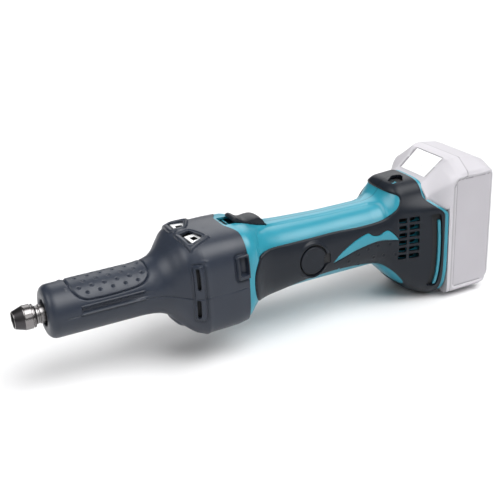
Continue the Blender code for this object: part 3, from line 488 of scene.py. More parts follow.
def box_distance(x, z, low, high, corner):
    """Distance from a rectangle with rounded corners, negative inside it."""
    over_x = np.abs(x - (low[0] + high[0]) / 2) - (high[0] - low[0]) / 2 + corner
    over_z = np.abs(z - (low[1] + high[1]) / 2) - (high[1] - low[1]) / 2 + corner
    outside = np.hypot(np.maximum(over_x, 0), np.maximum(over_z, 0))
    return outside + np.minimum(np.maximum(over_x, over_z), 0) - corner


def side_box(x, y, z, limits, corner, beyond=SIDE_FACE):
    """Distance from a rounded box on either side face, and FAR anywhere else."""
    return np.where(np.abs(y) > beyond, box_distance(x, z, *limits, corner), FAR)


def smooth_outline(points, per_span=6):
    """A closed curve through the points."""
    points = np.asarray(points, float)
    before, after, next_after = (np.roll(points, shift, axis=0) for shift in (1, -1, -2))
    curve = []
    for t in np.linspace(0.0, 1.0, per_span, endpoint=False):
        curve.append(
            0.5
            * (
                2 * points
                + (after - before) * t
                + (2 * before - 5 * points + 4 * after - next_after) * t**2
                + (3 * points - before - 3 * after + next_after) * t**3
            )
        )
    return np.stack(curve, axis=1).reshape(-1, 2)


def groove(distance, depth, half_width):
    """A round-bottomed groove along the line where distance is zero; a ridge if depth is negative."""
    return -depth * np.exp(-((distance / half_width) ** 2))


def raised(distance, height, round_by):
    """A plateau inside the outline whose edge is rounded off over round_by."""
    return height * np.sqrt(1.0 - (1.0 - np.clip(-distance / round_by, 0, 1)) ** 2)


# ---------------------------------------------------------------- front cover


NOSE_PROFILE = (
    (30.0, 9.0), (26.0, 9.4), (24.2, NOSE_BORE), (22.9, 10.0), (22.3, 10.5), (22.0, 11.4), (22.0, 13.4),
    (22.15, 15.0), (22.7, 16.7), (23.6, 18.1), (24.9, 19.2), (26.7, 19.95),
)
PAD_EDGE_DEGREES = 61.0
RIDGES_DEGREES = (71.0, 88.0)
RIDGE_SPAN = (45.5, 94.0)
DIMPLE_PITCH = 9.6
# Rows of dimples on the pad: degrees from the top, first place along X, how many.
DIMPLE_ROWS = ((0.0, 47.3, 6), (15.5, 52.2, 5), (31.0, 47.3, 6), (45.0, 52.3, 5))
DIMPLE_DEPTH, DIMPLE_SIZE = 1.3, 0.85
NECK_END = 104.0
NOSE_MARK = ((37.0, 8.4), (39.4, 8.4), (38.2, 10.6))
SIDE_VENTS = (((128.3, 4.6), (130.9, 20.9)), ((127.2, -18.2), (130.0, -3.4)))
VENT_FRAME = ((126.2, -21.0), (133.7, 22.6))
TOP_LEAD, LEAD_HALF_WIDTH, LEAD_EASE = 6.5, 6.0, 18.0
CLIP_TAB = ((160.0, 4.6), (176.0, 23.6))
CLIP_POCKET = ((162.0, 8.0), (169.0, 21.8))
TOP_VENT_RIM = ((125.6, 3.6), (137.2, 1.4), (146.2, 18.0), (145.0, 21.8), (131.0, 26.6), (127.6, 25.0))
TOP_VENT_HOLE = ((128.8, 6.4), (136.8, 4.8), (142.4, 17.4), (141.0, 19.6), (132.4, 22.4), (130.2, 21.0))


def pad_outline():
    """The neck pad in (x, distance round from the top) at full neck radius."""
    edge = math.radians(PAD_EDGE_DEGREES) * NECK_RADIUS
    right = [
        (40.6, 0.0), (41.1, 7.0), (42.6, 12.7), (45.0, 17.2), (49.0, 20.2), (54.7, edge),
        (70.0, edge + 0.3), (85.0, edge - 0.3), (93.3, edge - 2.0), (97.6, edge - 5.2),
        (99.8, 12.3), (100.2, 6.0), (100.0, 0.0),
    ]
    return smooth_outline(right + [(x, -along) for x, along in reversed(right[1:-1])])


def cover_relief(grid):
    """Heights of the front cover's moulded detail."""
    x, y, z = np.moveaxis(grid, 2, 0)
    degrees = np.degrees(np.arctan2(y, z))
    around = np.radians(degrees) * NECK_RADIUS
    height = np.zeros(x.shape)

    pad = np.where(x < NECK_END, outline_distance(pad_outline(), x, around), FAR)
    height += groove(pad, 0.95, 0.5) + 0.40 * smoothstep(-pad / 1.2)
    for angle, first, count in DIMPLE_ROWS:
        # The middle row is met from both sides, so each side gives half of it.
        share = 1.0 if angle else 0.5
        for index in range(count):
            at = first + DIMPLE_PITCH * index
            for side in (LEFT, RIGHT):
                apart = np.hypot(x - at, around - side * math.radians(angle) * NECK_RADIUS)
                height += share * groove(apart, DIMPLE_DEPTH, DIMPLE_SIZE)
                height += share * groove(apart - 1.8, -0.1, 0.6)

    side_degrees = np.abs(degrees)
    front, rear = RIDGE_SPAN
    for index, angle in enumerate(RIDGES_DEGREES):
        off = np.radians(side_degrees - angle) * NECK_RADIUS
        ridge = box_distance(x, off, (front - index * 0.8, -0.9), (rear, 0.9), 0.8)
        height += raised(ridge, 1.4, 0.7)
    middle, half_gap = sum(RIDGES_DEGREES) / 2, (RIDGES_DEGREES[1] - RIDGES_DEGREES[0]) / 2
    half_channel = math.radians(half_gap) * NECK_RADIUS - 1.1
    off = np.radians(side_degrees - middle) * NECK_RADIUS
    channel = box_distance(x, off, (front, -half_channel), (rear + 6, half_channel), 0.6)
    height -= 1.7 * smoothstep(-channel / 0.7) * (1.0 - smoothstep((x - 80.0) / 18.0) * 0.8)

    mark = outline_distance(NOSE_MARK, x, np.abs(around))
    height += 0.45 * smoothstep((0.4 - mark) / 0.8)

    seam_z = -3.2 * smoothstep((x - 100.0) / 40.0)
    seam = np.where(np.abs(y) > 10.0, z - seam_z, FAR)
    height += groove(seam, 0.5, 0.36) * smoothstep((x - 33.0) / 2.0)

    frames = side_box(x, y, z, VENT_FRAME, 1.6)
    height += raised(frames, 1.6, 0.5) + groove(frames - 0.7, 0.5, 0.7)
    corner = np.where((np.abs(y) > SIDE_FACE) & (z < 26.0), x - 136.0, FAR)
    height -= groove(corner, 0.6, 2.2)
    brow = np.where((np.abs(y) > 20.0) & (np.abs(x - 131.0) < 12.0), z - 23.4, FAR)
    height += groove(brow, 0.45, 0.8) * smoothstep((x - 124.0) / 4.0) * smoothstep((139.0 - x) / 3.0)

    tab = np.where(y < 0, box_distance(x, z, *CLIP_TAB, 2.0), FAR)
    pocket = np.where(y < 0, box_distance(x, z, *CLIP_POCKET, 1.2), FAR)
    height += raised(tab, 2.0, 0.6) + groove(tab - 0.6, 1.0, 0.8)
    hollow = 1.0 - ((x - 165.7) / 4.2) ** 2
    height -= smoothstep(-pocket / 0.4) * (2.8 + 2.2 * np.clip(hollow, 0, 1))

    on_top = z > TOP_FACE
    rim = np.where(on_top, outline_distance(smooth_outline(TOP_VENT_RIM), x, np.abs(y)), FAR)
    height += raised(rim, 1.7, 1.7)
    hole = np.where(on_top, outline_distance(TOP_VENT_HOLE, x, np.abs(y)), FAR)
    height -= 0.9 * smoothstep((1.9 - hole) / 1.4)

    foot = np.hypot((x - 122.5) / 6.5, y / 15.0) - 1.0
    height += np.where(z < -20.0, 1.7 * smoothstep(-foot / 0.5), 0.0)
    return height


def cover_edge(y, z):
    """Where the cover ends at the rear: its edge runs forward over the top."""
    lead = 1.0 - smoothstep((np.abs(y) - LEAD_HALF_WIDTH) / LEAD_EASE)
    return COVER_REAR - TOP_LEAD * np.where(z > 20.0, lead, 0.0)


def cover_holes(grid):
    """Negative where the front cover has material."""
    x, y, z = np.moveaxis(grid, 2, 0)
    field = np.full(x.shape, -FAR)
    for vent in SIDE_VENTS:
        field = np.maximum(field, -side_box(x, y, z, vent, 1.1))
    hole = np.where(z > TOP_FACE, outline_distance(TOP_VENT_HOLE, x, np.abs(y)), FAR)
    return np.maximum.reduce([field, -hole, x - cover_edge(y, z)])


def make_cover():
    per_quarter = 96
    x = np.concatenate([np.arange(29.0, 116.0, 0.72), np.arange(116.0, COVER_REAR, 0.56), [COVER_REAR]])
    body = skin_grid(COVER_STATIONS, x, per_quarter)
    angle = np.linspace(0.0, 2 * math.pi, 4 * per_quarter, endpoint=False)
    nose = turned(*resample(NOSE_PROFILE, 34), angle)
    grid = np.concatenate([nose, body])
    normals = grid_normals(grid)
    height = np.concatenate([np.zeros(nose.shape[:2]), cover_relief(body)])
    field = np.concatenate([np.full(nose.shape[:2], -FAR), cover_holes(body)])
    skin_piece(
        "cover_skin", grid + normals * height[..., None], normals, field, 2.0,
        "body", "slate_elastomer", ("front_cover",),
    )


def make_vent_plates():
    """Metal frames, whitened as a painted glint, with a dark opening, just under the two top vents."""
    outer = ((131.0, 9.0), (140.2, 7.4), (143.2, 19.0), (132.8, 22.4))
    inner = ((133.8, 11.6), (138.9, 10.6), (140.3, 16.0), (135.2, 17.6))
    inner_edge_height, slant, thickness = 37.9, 0.10, 1.2
    for name, side in SIDES:
        points = [(x, side * y, inner_edge_height - y * slant) for x, y in outer + inner]
        points += [(x, y, z - thickness) for x, y, z in points]
        faces = []
        for index in range(4):
            after = (index + 1) % 4
            faces.append([index, after, 4 + after, 4 + index])
            faces.append([index, 8 + index, 8 + after, after])
            faces.append([4 + index, 4 + after, 12 + after, 12 + index])
            faces.append([8 + index, 12 + index, 12 + after, 8 + after])
        plate = mesh_piece(
            f"{name}_vent_plate", points, faces, "body", "aluminium", finish="vent_metal"
        )
        bevel = plate.modifiers.new("rounded edges", "BEVEL")
        bevel.width = 0.35 * MM
        bevel.segments = 2


def make_shade_liners():
    """Near-black walls, painted shade, a little way inside the cover's vents and the notch behind the
    handle.
    """
    x = np.arange(123.0, 147.0, 1.0)
    grid = skin_grid(COVER_STATIONS, x, 48)
    normals = grid_normals(grid)
    at, y, z = np.moveaxis(grid, 2, 0)
    side = side_box(at, y, z, ((124.0, -22.0), (136.0, 24.0)), 1.0, beyond=20.0)
    top = np.where(z > 20.0, box_distance(at, np.abs(y), (124.0, 3.0), (146.0, 26.0), 1.0), FAR)
    for name, field, depth in (("side_vent_shade", side, 2.1), ("top_vent_shade", top, 4.6)):
        skin_piece(
            name, grid - normals * depth, normals, field, 0.8, "body", "slate_elastomer",
            finish="inner_dark",
        )
    grid = skin_grid(HOUSING_STATIONS, np.arange(315.0, 331.2, 1.0), 48)
    normals = grid_normals(grid)
    field = np.where(grid[..., 2] > 20.0, np.abs(grid[..., 1]) - 15.0, FAR)
    skin_piece(
        "notch_shade", grid - normals * 2.4, normals, field, 0.6, "body", "teal_plastic",
        finish="inner_dark",
    )


# ---------------------------------------------------------------- handle


# Outlines of the soft grips and their inlays, in (x, z).
GRIP_OUTLINE = (
    (183.0, 16.6), (192.7, 18.9), (210.0, 18.3), (229.5, 17.7), (254.6, 17.2), (277.3, 16.2),
    (296.0, 16.8), (306.5, 20.4), (312.9, 26.2), (315.7, 31.4), (314.7, 34.4), (309.6, 35.8),
    (303.0, 37.2), (300.0, 60.0), (370.0, 60.0), (380.0, 0.0), (370.0, -70.0), (339.0, -75.0),
    (330.6, -66.0), (327.6, -56.0), (323.6, -46.6), (317.6, -38.6), (311.6, -32.0),
    (304.6, -26.2), (296.0, -21.8), (282.0, -18.2), (264.0, -16.4), (247.6, -15.8),
    (231.0, -16.6), (215.0, -18.6), (198.0, -21.6), (184.0, -21.6), (178.0, -17.5),
    (175.0, -8.0), (175.2, 4.0), (178.4, 12.2),
)
SWOOSH_OUTLINE = (
    (250.6, -7.5), (256.5, -2.0), (262.9, 2.2), (271.5, 6.6), (280.0, 9.2), (284.6, 9.6), (287.4, 7.4),
    (290.6, 6.2), (294.6, 6.0), (298.4, 7.8), (302.5, 8.6), (307.3, 5.0), (311.6, -0.8), (308.0, -0.4),
    (296.7, 1.0), (288.0, 0.8), (279.8, -0.4), (270.0, -2.4), (262.9, -4.4), (256.0, -6.4),
)
GRILLE_COLUMNS = ((311.8, 318.6), (320.6, 329.4))
GRILLE_ROWS = (-19.0, -12.6, -6.2, 0.2, 6.6, 13.0)
GRILLE_HEIGHT = 4.3
# The hollow along each side of the handle's top, in (x, distance from the middle).
SCOOP_OUTLINE = (
    (184.0, 22.0), (188.0, 15.4), (193.0, 11.4), (202.0, 6.6), (215.0, 4.8), (240.0, 4.5),
    (290.0, 4.5), (298.5, 6.4), (303.6, 11.6), (304.4, 17.0), (304.0, 22.0), (303.0, 40.0),
    (240.0, 44.0), (184.0, 40.0),
)
SCOOP_DEPTH = 1.25
KNOB_SLOT = ((165.4, -8.1), (201.6, 8.1))
TOP_NOTCH = ((316.6, 12.6), (316.2, 5.6), (324.6, -0.8), (331.6, 1.6), (330.8, 5.8), (325.6, 12.8))
CAP_NOTCH = ((BRUSH_X + 8.4, -6.2), (BRUSH_X + 16.2, 2.6))
CAP_GAP = 1.2
RIM_WIDTH = 3.0
# How far out the flat land round each cap stands, how wide it is, and the run-out beyond it.
CAP_LAND, LAND_RADIUS, LAND_EASE = 28.2, 15.6, 2.6
CAP_WELL, WELL_THICKNESS = 26.2, 0.6
FLANGE_GROOVE = ((340.6, -48.6), (348.8, 17.2))
FLANGE_STRIP = ((345.7, -47.6), (348.0, 11.6))
GRIP_DIMPLES = (
    (257.4, -15.3), (265.1, -9.5), (274.0, -5.8), (282.9, -3.4), (292.7, -2.2), (303.7, -2.8),
    (263.2, -21.0), (275.5, -15.5), (289.6, -12.0), (299.0, -12.2), (309.0, -12.7),
)


def rear_edge(z):
    """Where the flange ends: it steps forward above the pack's shoulders."""
    return HOUSING_REAR - 14.5 * smoothstep((z - 15.0) / 16.0)


def handle_fields(grid):
    """Signed distances that the pieces of the handle share."""
    x, y, z = np.moveaxis(grid, 2, 0)
    grip = outline_distance(smooth_outline(GRIP_OUTLINE), x, z)
    swoosh = outline_distance(smooth_outline(SWOOSH_OUTLINE), x, z)
    cap = np.hypot(x - BRUSH_X, z) - CAP_RADIUS - CAP_GAP
    cap = np.minimum(cap, box_distance(x, z, *CAP_NOTCH, 0.8))
    grille = np.full(x.shape, FAR)
    for low in GRILLE_ROWS:
        for near, far in GRILLE_COLUMNS:
            slot = box_distance(x, z, (near, low), (far, low + GRILLE_HEIGHT), 0.8)
            grille = np.minimum(grille, slot)
    knob = np.where(z > 20.0, box_distance(x, y, *KNOB_SLOT, 1.0), FAR)
    latch = np.where(z > 30.0, outline_distance(TOP_NOTCH, x, -y), FAR)
    return grip, swoosh, cap, grille, knob, latch


def shell_relief(grid):
    """Heights of the teal shell's moulded detail."""
    x, y, z = np.moveaxis(grid, 2, 0)
    inside = np.where(z > 8.0, outline_distance(smooth_outline(SCOOP_OUTLINE), x, np.abs(y)), FAR)
    height = -SCOOP_DEPTH * smoothstep(-inside / 3.0) * smoothstep((z - 10.0) / 8.0)
    height -= 0.5 * smoothstep(1.0 - np.hypot(x - 190.0, (np.abs(y) - 13.0) * 1.2) / 9.0)
    return height


def grip_relief(grid, grip, swoosh):
    """Heights of the soft grip above the shell's surface."""
    x, y, z = np.moveaxis(grid, 2, 0)
    edge = np.maximum(grip, x - rear_edge(z) + RIM_WIDTH)
    height = raised(edge, GRIP_PROUD, 1.5)
    from_cap = np.hypot(x - BRUSH_X, z)
    up_to_land = np.maximum(CAP_LAND - GRIP_PROUD - np.abs(y), 0.0)
    height += up_to_land * smoothstep((LAND_RADIUS - from_cap) / LAND_EASE)
    height += groove(swoosh, 0.6, 0.45)
    for at, level in GRIP_DIMPLES:
        apart = np.hypot(x - at, z - level)
        height += groove(apart, 0.8, 0.85) + groove(apart - 1.7, -0.18, 0.6)
    return height


def flange_box(x, y, z, limits, corner):
    """Distance from an upright box on the flange's side that leans with the flange's edge."""
    return side_box(x + 0.0016 * (z + 14.0) ** 2, y, z, limits, corner, beyond=20.0)


def make_cap_wells():
    """Bottoms of the ring and the pry notch round each brush cap cover, drawn near black as painted
    shade.
    """
    count = 72
    angle = np.linspace(0.0, 2 * math.pi, count, endpoint=False)
    (_, low), (far, high) = CAP_NOTCH
    reach_out = (far + 0.8 - BRUSH_X) / np.maximum(np.cos(angle), 0.05)
    off_middle = np.abs(np.sin(angle) * reach_out - (low + high) / 2)
    in_notch = (off_middle < (high - low) / 2 + 0.6) & (np.cos(angle) > 0)
    outer = np.where(in_notch, reach_out, CAP_RADIUS + CAP_GAP + 0.9)
    inner = np.full(count, CAP_RADIUS + 0.05)
    lower = CAP_WELL - WELL_THICKNESS
    for name, side in SIDES:
        rings = [
            np.stack(
                [BRUSH_X + radius * np.cos(angle), np.full(count, side * out), radius * np.sin(angle)],
                axis=1,
            )
            for radius, out in ((inner, CAP_WELL), (outer, CAP_WELL), (outer, lower), (inner, lower))
        ]
        faces = grid_triangles(5, count) % (4 * count)
        faces = faces if side < 0 else faces[:, ::-1]
        mesh_piece(
            f"{name}_cap_well", np.concatenate(rings), faces.tolist(), "body", "teal_plastic",
            finish="inner_dark",
        )


def make_handle():
    per_quarter = 92
    x = np.concatenate([np.arange(HOUSING_FRONT, HOUSING_REAR, 0.62), [HOUSING_REAR]])
    grid = skin_grid(HOUSING_STATIONS, x, per_quarter)
    normals = grid_normals(grid)
    grip, swoosh, cap, grille, knob, latch = handle_fields(grid)
    at, y, z = np.moveaxis(grid, 2, 0)
    shell_latch = latch - 1.6
    rear = at - rear_edge(z)
    front = cover_edge(y, z) + COVER_GAP - at
    shell = grid + normals * shell_relief(grid)[..., None]
    soft = grid + normals * grip_relief(grid, grip, swoosh)[..., None]
    inlay = grid + normals * (GRIP_PROUD - 0.35 + 0.3 * smoothstep(-swoosh / 1.2))[..., None]
    strip, slot_floor = grid + normals * 0.3, grid - normals * 1.5
    strip_field = flange_box(at, y, z, FLANGE_STRIP, 0.6)
    flange_slot = flange_box(at, y, z, FLANGE_GROOVE, 2.0)
    for name, side in SIDES:
        half = SEAM - side * y
        cut_away = np.maximum.reduce([half, front, rear, -cap, -knob])
        under_grip = np.minimum(-(grip + 1.2), -rear - RIM_WIDTH - 0.4)
        shell_field = np.maximum.reduce([cut_away, under_grip, -(grille + 0.7), -shell_latch])
        soft_field = np.maximum.reduce(
            [cut_away, -latch, -grille, grip, rear + RIM_WIDTH, -swoosh, -flange_slot]
        )
        inlay_field = np.maximum(swoosh + 0.12, half)
        strip_part = np.maximum(strip_field, half)
        floor_part = np.maximum(flange_slot - 0.6, half)
        for piece, surface, field, wall, slot, replaced, finish in (
            ("shell", shell, shell_field, 1.6, "teal_plastic", (f"{name}_housing",), None),
            ("soft_grip", soft, soft_field, 2.2, "charcoal_elastomer", (f"{name}_grip",), None),
            ("inlay", inlay, inlay_field, 1.2, "teal_plastic", (), None),
            ("flange_strip", strip, strip_part, 2.0, "teal_plastic", (), None),
            # The flange slot's floor is drawn near black: painted shade.
            ("flange_slot_shade", slot_floor, floor_part, 0.5, "charcoal_elastomer", (), "inner_dark"),
        ):
            skin_piece(
                f"{name}_{piece}", surface, normals, field, wall, "body", slot, replaced, finish
            )


def cad_inside(name, piece, body, slot, keep, finish=None):
    """A copy of the CAD node's faces for which keep(corners, normal) is true."""
    mesh = nodes[name].data.copy()
    geometry = bmesh.new()
    geometry.from_mesh(mesh)
    origin = Vector((TIP, 0.0, AXIS_Z))
    dropped = []
    for face in geometry.faces:
        corners = [(corner.co - origin) / MM for corner in face.verts]
        if not keep(corners, face.normal):
            dropped.append(face)
    bmesh.ops.delete(geometry, geom=dropped, context="FACES")
    geometry.to_mesh(mesh)
    geometry.free()
    return dress_piece(bpy.data.objects.new(piece, mesh), body, slot, finish=finish)


def inset_from_skin(stations, corners):
    """How far inside the skin each corner lies, as a share of the section's size."""
    points = np.array([tuple(corner) for corner in corners])
    columns = smooth_columns(stations, np.clip(points[:, 0], stations[0][0], stations[-1][0]))
    half_width, step_width, top, bottom, top_power, bottom_power = columns.T
    middle, half_height = (top + bottom) / 2, (top - bottom) / 2
    _, y, z = points.T
    power = np.where(z > middle, top_power, bottom_power)
    across = np.abs(y / width_at(z, half_width, step_width)) ** power
    return 1.0 - (across + np.abs((z - middle) / half_height) ** power) ** (1.0 / power)


# Shares of a section's size: a face with a corner nearer the skin than SKIN_SHARE is one of its
# facets, and so is a face that looks outward with a corner nearer than OUTER_SHARE.
SKIN_SHARE, OUTER_SHARE, LOOKS_OUT = 0.012, 0.045, 0.3


def make_insides():
    """The CAD's inner walls, without the facets of its outer skin."""

    def within(stations, share):
        middle = (stations[-1][3] + stations[-1][4]) / 2

        def keep(corners, normal):
            inset = inset_from_skin(stations, corners)
            center = sum(corners, Vector()) / len(corners)
            out = Vector((0.0, center.y, center.z - middle)).normalized()
            outer = normal.dot(out) > LOOKS_OUT and inset.min() < OUTER_SHARE
            return inset.max() > share and inset.min() > SKIN_SHARE and not outer

        return keep

    for name, _ in SIDES:
        cad_inside(
            f"{name}_housing", f"{name}_shell_inside", "body", "teal_plastic",
            within(HOUSING_STATIONS, 0.03),
        )
    in_cover = within(COVER_STATIONS, 0.04)
    # The front cover's inside is drawn near black: painted shade.
    cad_inside(
        "front_cover", "cover_inside", "body", "slate_elastomer",
        lambda corners, normal: in_cover(corners, normal) and min(at.x for at in corners) > 24.0,
        finish="inner_dark",
    )


# ---------------------------------------------------------------- spindle, nut and caps


LATHE_STEP = 0.25
NUT_HALF_HEXAGON = 9.02
SPINDLE_HALF_FLATS = 6.5
SPINDLE_FLATS = (19.2, 24.6)
CAP_OUTLINE = (
    (25.3, 11.0), (27.4, 11.25), (28.1, 11.15), (28.45, 10.7), (28.5, 10.1), (28.45, 9.4),
    (28.45, 8.0), (28.5, 6.0), (28.55, 2.0), (28.55, 0.02),
)
DISC_NOTCH = ((BRUSH_X + 9.3, -4.8), (BRUSH_X + 18.0, 1.2))


def lathe(name, outline, body, slot, replaced=(), finish=None, limit=None, steps=144):
    """A turned piece. limit(along, angle) holds its radius down, for flats and hexagons."""
    outline = np.array(outline, float)
    rows = [outline[:1]]
    for start, end in zip(outline, outline[1:]):
        count = max(1, int(np.linalg.norm(end - start) / LATHE_STEP))
        rows.append(start + (end - start) * np.linspace(0, 1, count + 1)[1:, None])
    profile = np.concatenate(rows)
    angle = np.linspace(0, 2 * math.pi, steps, endpoint=False)
    along, radius = profile[:, :1], profile[:, 1:]
    if limit:
        radius = np.minimum(radius, limit(along, angle))
    grid = turned(along, radius, angle)
    faces = grid_triangles(len(profile), steps)[:, ::-1]
    return mesh_piece(name, grid.reshape(-1, 3), faces.tolist(), body, slot, replaced, finish)


def make_spindle_end():
    """The collet nut, the end of the spindle behind it and the collet's jaws inside it."""

    def nut_limit(along, angle):
        return NUT_HALF_HEXAGON / np.cos(np.mod(angle, math.pi / 3) - math.pi / 6)

    band = [
        (15.3, 6.2), (15.3, 8.2), (15.1, 8.6), (14.8, 8.8), (14.2, 8.8), (14.0, 8.2), (13.4, 8.2),
        (13.2, 8.8), (12.9, 9.15), (8.0, 9.15), (7.5, 9.0), (7.1, 8.75),
    ]
    front_cone = [(7.1, 8.75), (1.0, 6.75), (0.45, 6.5)]
    rim = [(0.45, 6.5), (0.1, 6.25), (0.0, 6.0), (0.05, 5.75), (0.3, 5.6)]
    bore = [(0.3, 5.6), (2.4, 5.25), (6.5, 5.1)]
    # The nut is one dark steel: its band in nut_steel and its rim in bright_steel are lighter as
    # painted highlights, and its bore in the near-black inner_dark is painted shade.
    lathe("nut_body", band, "nut", "dark_steel", ("collet_nut",), "nut_steel", nut_limit)
    lathe("nut_front", front_cone, "nut", "dark_steel", limit=nut_limit)
    lathe("nut_rim", rim, "nut", "dark_steel", finish="bright_steel")
    lathe("nut_bore", bore, "nut", "dark_steel", finish="inner_dark")

    def spindle_limit(along, angle):
        flat = SPINDLE_HALF_FLATS / np.maximum(np.abs(np.cos(angle)), 1e-6)
        return np.where((along > SPINDLE_FLATS[0]) & (along < SPINDLE_FLATS[1]), flat, math.inf)

    spindle = [
        (60.0, 5.9), (25.4, 5.9), (25.2, 6.9), (25.0, 7.1), (18.9, 7.1), (18.6, 6.9), (18.4, 6.2),
        (17.9, 6.2), (17.7, 6.6), (17.5, 6.75), (16.2, 6.75), (15.9, 6.5), (15.7, 5.9), (7.5, 5.85),
        (7.5, 5.1), (12.0, 4.85),
    ]
    lathe(
        "spindle_nose", spindle, "rotor", "bright_steel", ("spindle",), limit=spindle_limit,
        steps=120,
    )
    cone = [
        (24.0, 3.9), (7.5, 4.72), (3.1, 4.82), (2.75, 4.7), (2.75, 4.6), (3.3, 4.4), (13.0, 3.5),
        (13.2, 3.05), (24.0, 3.05),
    ]
    # The collet's jaws are drawn near black: painted shade in the nut's mouth.
    lathe(
        "collet_jaws", cone, "collet", "bright_steel", ("collet_cone",), "collet_shade_steel", steps=96
    )


def make_caps():
    """Brush cap covers: a dished disc with a rounded rim and a pry notch at its rear."""
    steps = 128
    along, radius = resample(CAP_OUTLINE, 55)
    angle = np.linspace(0, 2 * math.pi, steps, endpoint=False)
    x, z = BRUSH_X + radius * np.cos(angle), radius * np.sin(angle)
    notch = box_distance(x, z, *DISC_NOTCH, 0.5)
    out = np.maximum(along - 1.9 * smoothstep(-notch / 0.5), 25.2)
    for name, side in SIDES:
        grid = np.stack([x, side * out, z], axis=-1)
        faces = grid_triangles(len(along), steps)
        faces = faces if side < 0 else faces[:, ::-1]
        mesh_piece(
            f"{name}_cap_disc", grid.reshape(-1, 3), faces.tolist(), f"{name}_cap",
            "charcoal_elastomer", (f"{name}_cap_cover",),
        )


def rounded_plate(name, outline, half_width, edge, body, slot, replaced=(), crown=0.0):
    """A thick plate standing across Y, with rounded rims, from an outline in (x, z)."""
    outline = np.asarray(outline, float)
    following = np.roll(outline, -1, axis=0)
    area = np.sum(outline[:, 0] * following[:, 1] - following[:, 0] * outline[:, 1])
    if area < 0:
        outline = outline[::-1]
    tangent = np.roll(outline, -1, axis=0) - np.roll(outline, 1, axis=0)
    tangent /= np.linalg.norm(tangent, axis=1, keepdims=True)
    inward = np.stack([-tangent[:, 1], tangent[:, 0]], axis=1)
    rim = [
        (-half_width + edge * (1 - math.sin(turn)), edge * (1 - math.cos(turn)))
        for turn in np.linspace(0, math.pi / 2, 6)[::-1]
    ]
    middle = [(y, 0.0) for y in np.linspace(-half_width + edge, half_width - edge, 7)[1:-1]]
    layers = rim + middle + [(-y, inset) for y, inset in rim[::-1]]
    rings = []
    for y, inset in layers:
        ring = outline + inward * inset
        ring[:, 1] -= crown * (y / half_width) ** 2
        rings.append(np.stack([ring[:, 0], np.full(len(ring), y), ring[:, 1]], axis=1))
    count = len(outline)
    grid = np.stack(rings)
    faces = grid_triangles(len(rings), count)[:, ::-1].tolist()
    faces.append(list(range(count)))
    faces.append([(len(rings) - 1) * count + index for index in reversed(range(count))])
    return mesh_piece(name, grid.reshape(-1, 3), faces, body, slot, replaced)


def make_knob():
    outline = smooth_outline(
        [
            (178.6, 30.6), (178.5, 35.0), (178.1, 37.4), (175.6, 38.0), (173.6, 38.8),
            (172.8, 40.0), (173.4, 41.4), (175.0, 42.0), (177.0, 41.3), (179.2, 39.6),
            (181.6, 38.4), (184.0, 38.0), (187.0, 38.3), (190.6, 38.5), (194.0, 38.1),
            (197.4, 36.4), (199.4, 34.0), (200.0, 32.2), (199.6, 30.6), (193.0, 30.6),
            (186.0, 30.6),
        ],
        per_span=5,
    )
    rounded_plate(
        "knob_cap", outline, 7.5, 0.9, "knob", "charcoal_elastomer", ("switch_knob",), crown=0.7
    )


def make_knob_ramp():
    """The teal floor that slopes down into the slot in front of the knob."""
    outline = [(164.9, 37.5), (166.0, 37.2), (171.4, 33.8), (171.9, 32.6), (164.9, 32.6)]
    rounded_plate(
        "knob_slot_floor", round_corners(outline, (0.2, 1.2, 0.8, 0.2, 0.2)), 8.2, 0.1,
        "body", "teal_plastic",
    )


# ---------------------------------------------------------------- battery pack


PACK_BOTTOM = -58.0
# The pack's side view as (x, z): the middle of its top, its flanks' upper edge, its underside.
PACK_CROWN = (
    (338.0, 38.6), (343.0, 41.8), (362.0, 56.6), (366.0, 57.8), (372.0, 58.0), (388.0, 55.6),
    (395.0, 52.6), (399.5, 49.0), (402.0, 44.0),
)
PACK_SIDE_TOP = (
    (338.0, 30.0), (343.0, 34.0), (356.0, 44.0), (372.0, 48.4), (392.0, 47.4), (399.0, 44.0),
    (402.0, 40.0),
)
PACK_UNDERSIDE = (
    (355.0, 18.0), (355.4, PACK_BOTTOM), (390.5, PACK_BOTTOM), (395.5, -55.6), (399.5, -51.2),
    (402.0, -45.5),
)
# Where the front part of the pack ends on its flanks; over the top that is BATTERY_SPLIT.
PACK_SPLIT = 358.6
CORNER_STEPS = 9
PACK_SPANS = (36, 96, 16, 30, 16, 96)
PACK_PANEL = ((361.0, -53.5), (398.4, 44.0))
PACK_WINDOW = ((344.6, 16.6), (362.6, 17.8), (362.6, -17.8), (344.6, -16.6))


def round_corners(corners, radii, steps=7):
    """A closed outline from corner points, each rounded by its own radius."""
    corners = np.asarray(corners, float)
    made = []
    for before, corner, after, radius in zip(
        np.roll(corners, 1, axis=0), corners, np.roll(corners, -1, axis=0), radii
    ):
        to_before, to_after = before - corner, after - corner
        reach_before, reach_after = np.linalg.norm(to_before), np.linalg.norm(to_after)
        to_before, to_after = to_before / reach_before, to_after / reach_after
        half = math.acos(np.clip(np.dot(to_before, to_after), -1, 1)) / 2
        reach = min(radius / math.tan(half), 0.48 * reach_before, 0.48 * reach_after)
        start, end = corner + to_before * reach, corner + to_after * reach
        for t in np.linspace(0, 1, steps):
            made.append((1 - t) ** 2 * start + 2 * t * (1 - t) * corner + t**2 * end)
    return np.array(made)


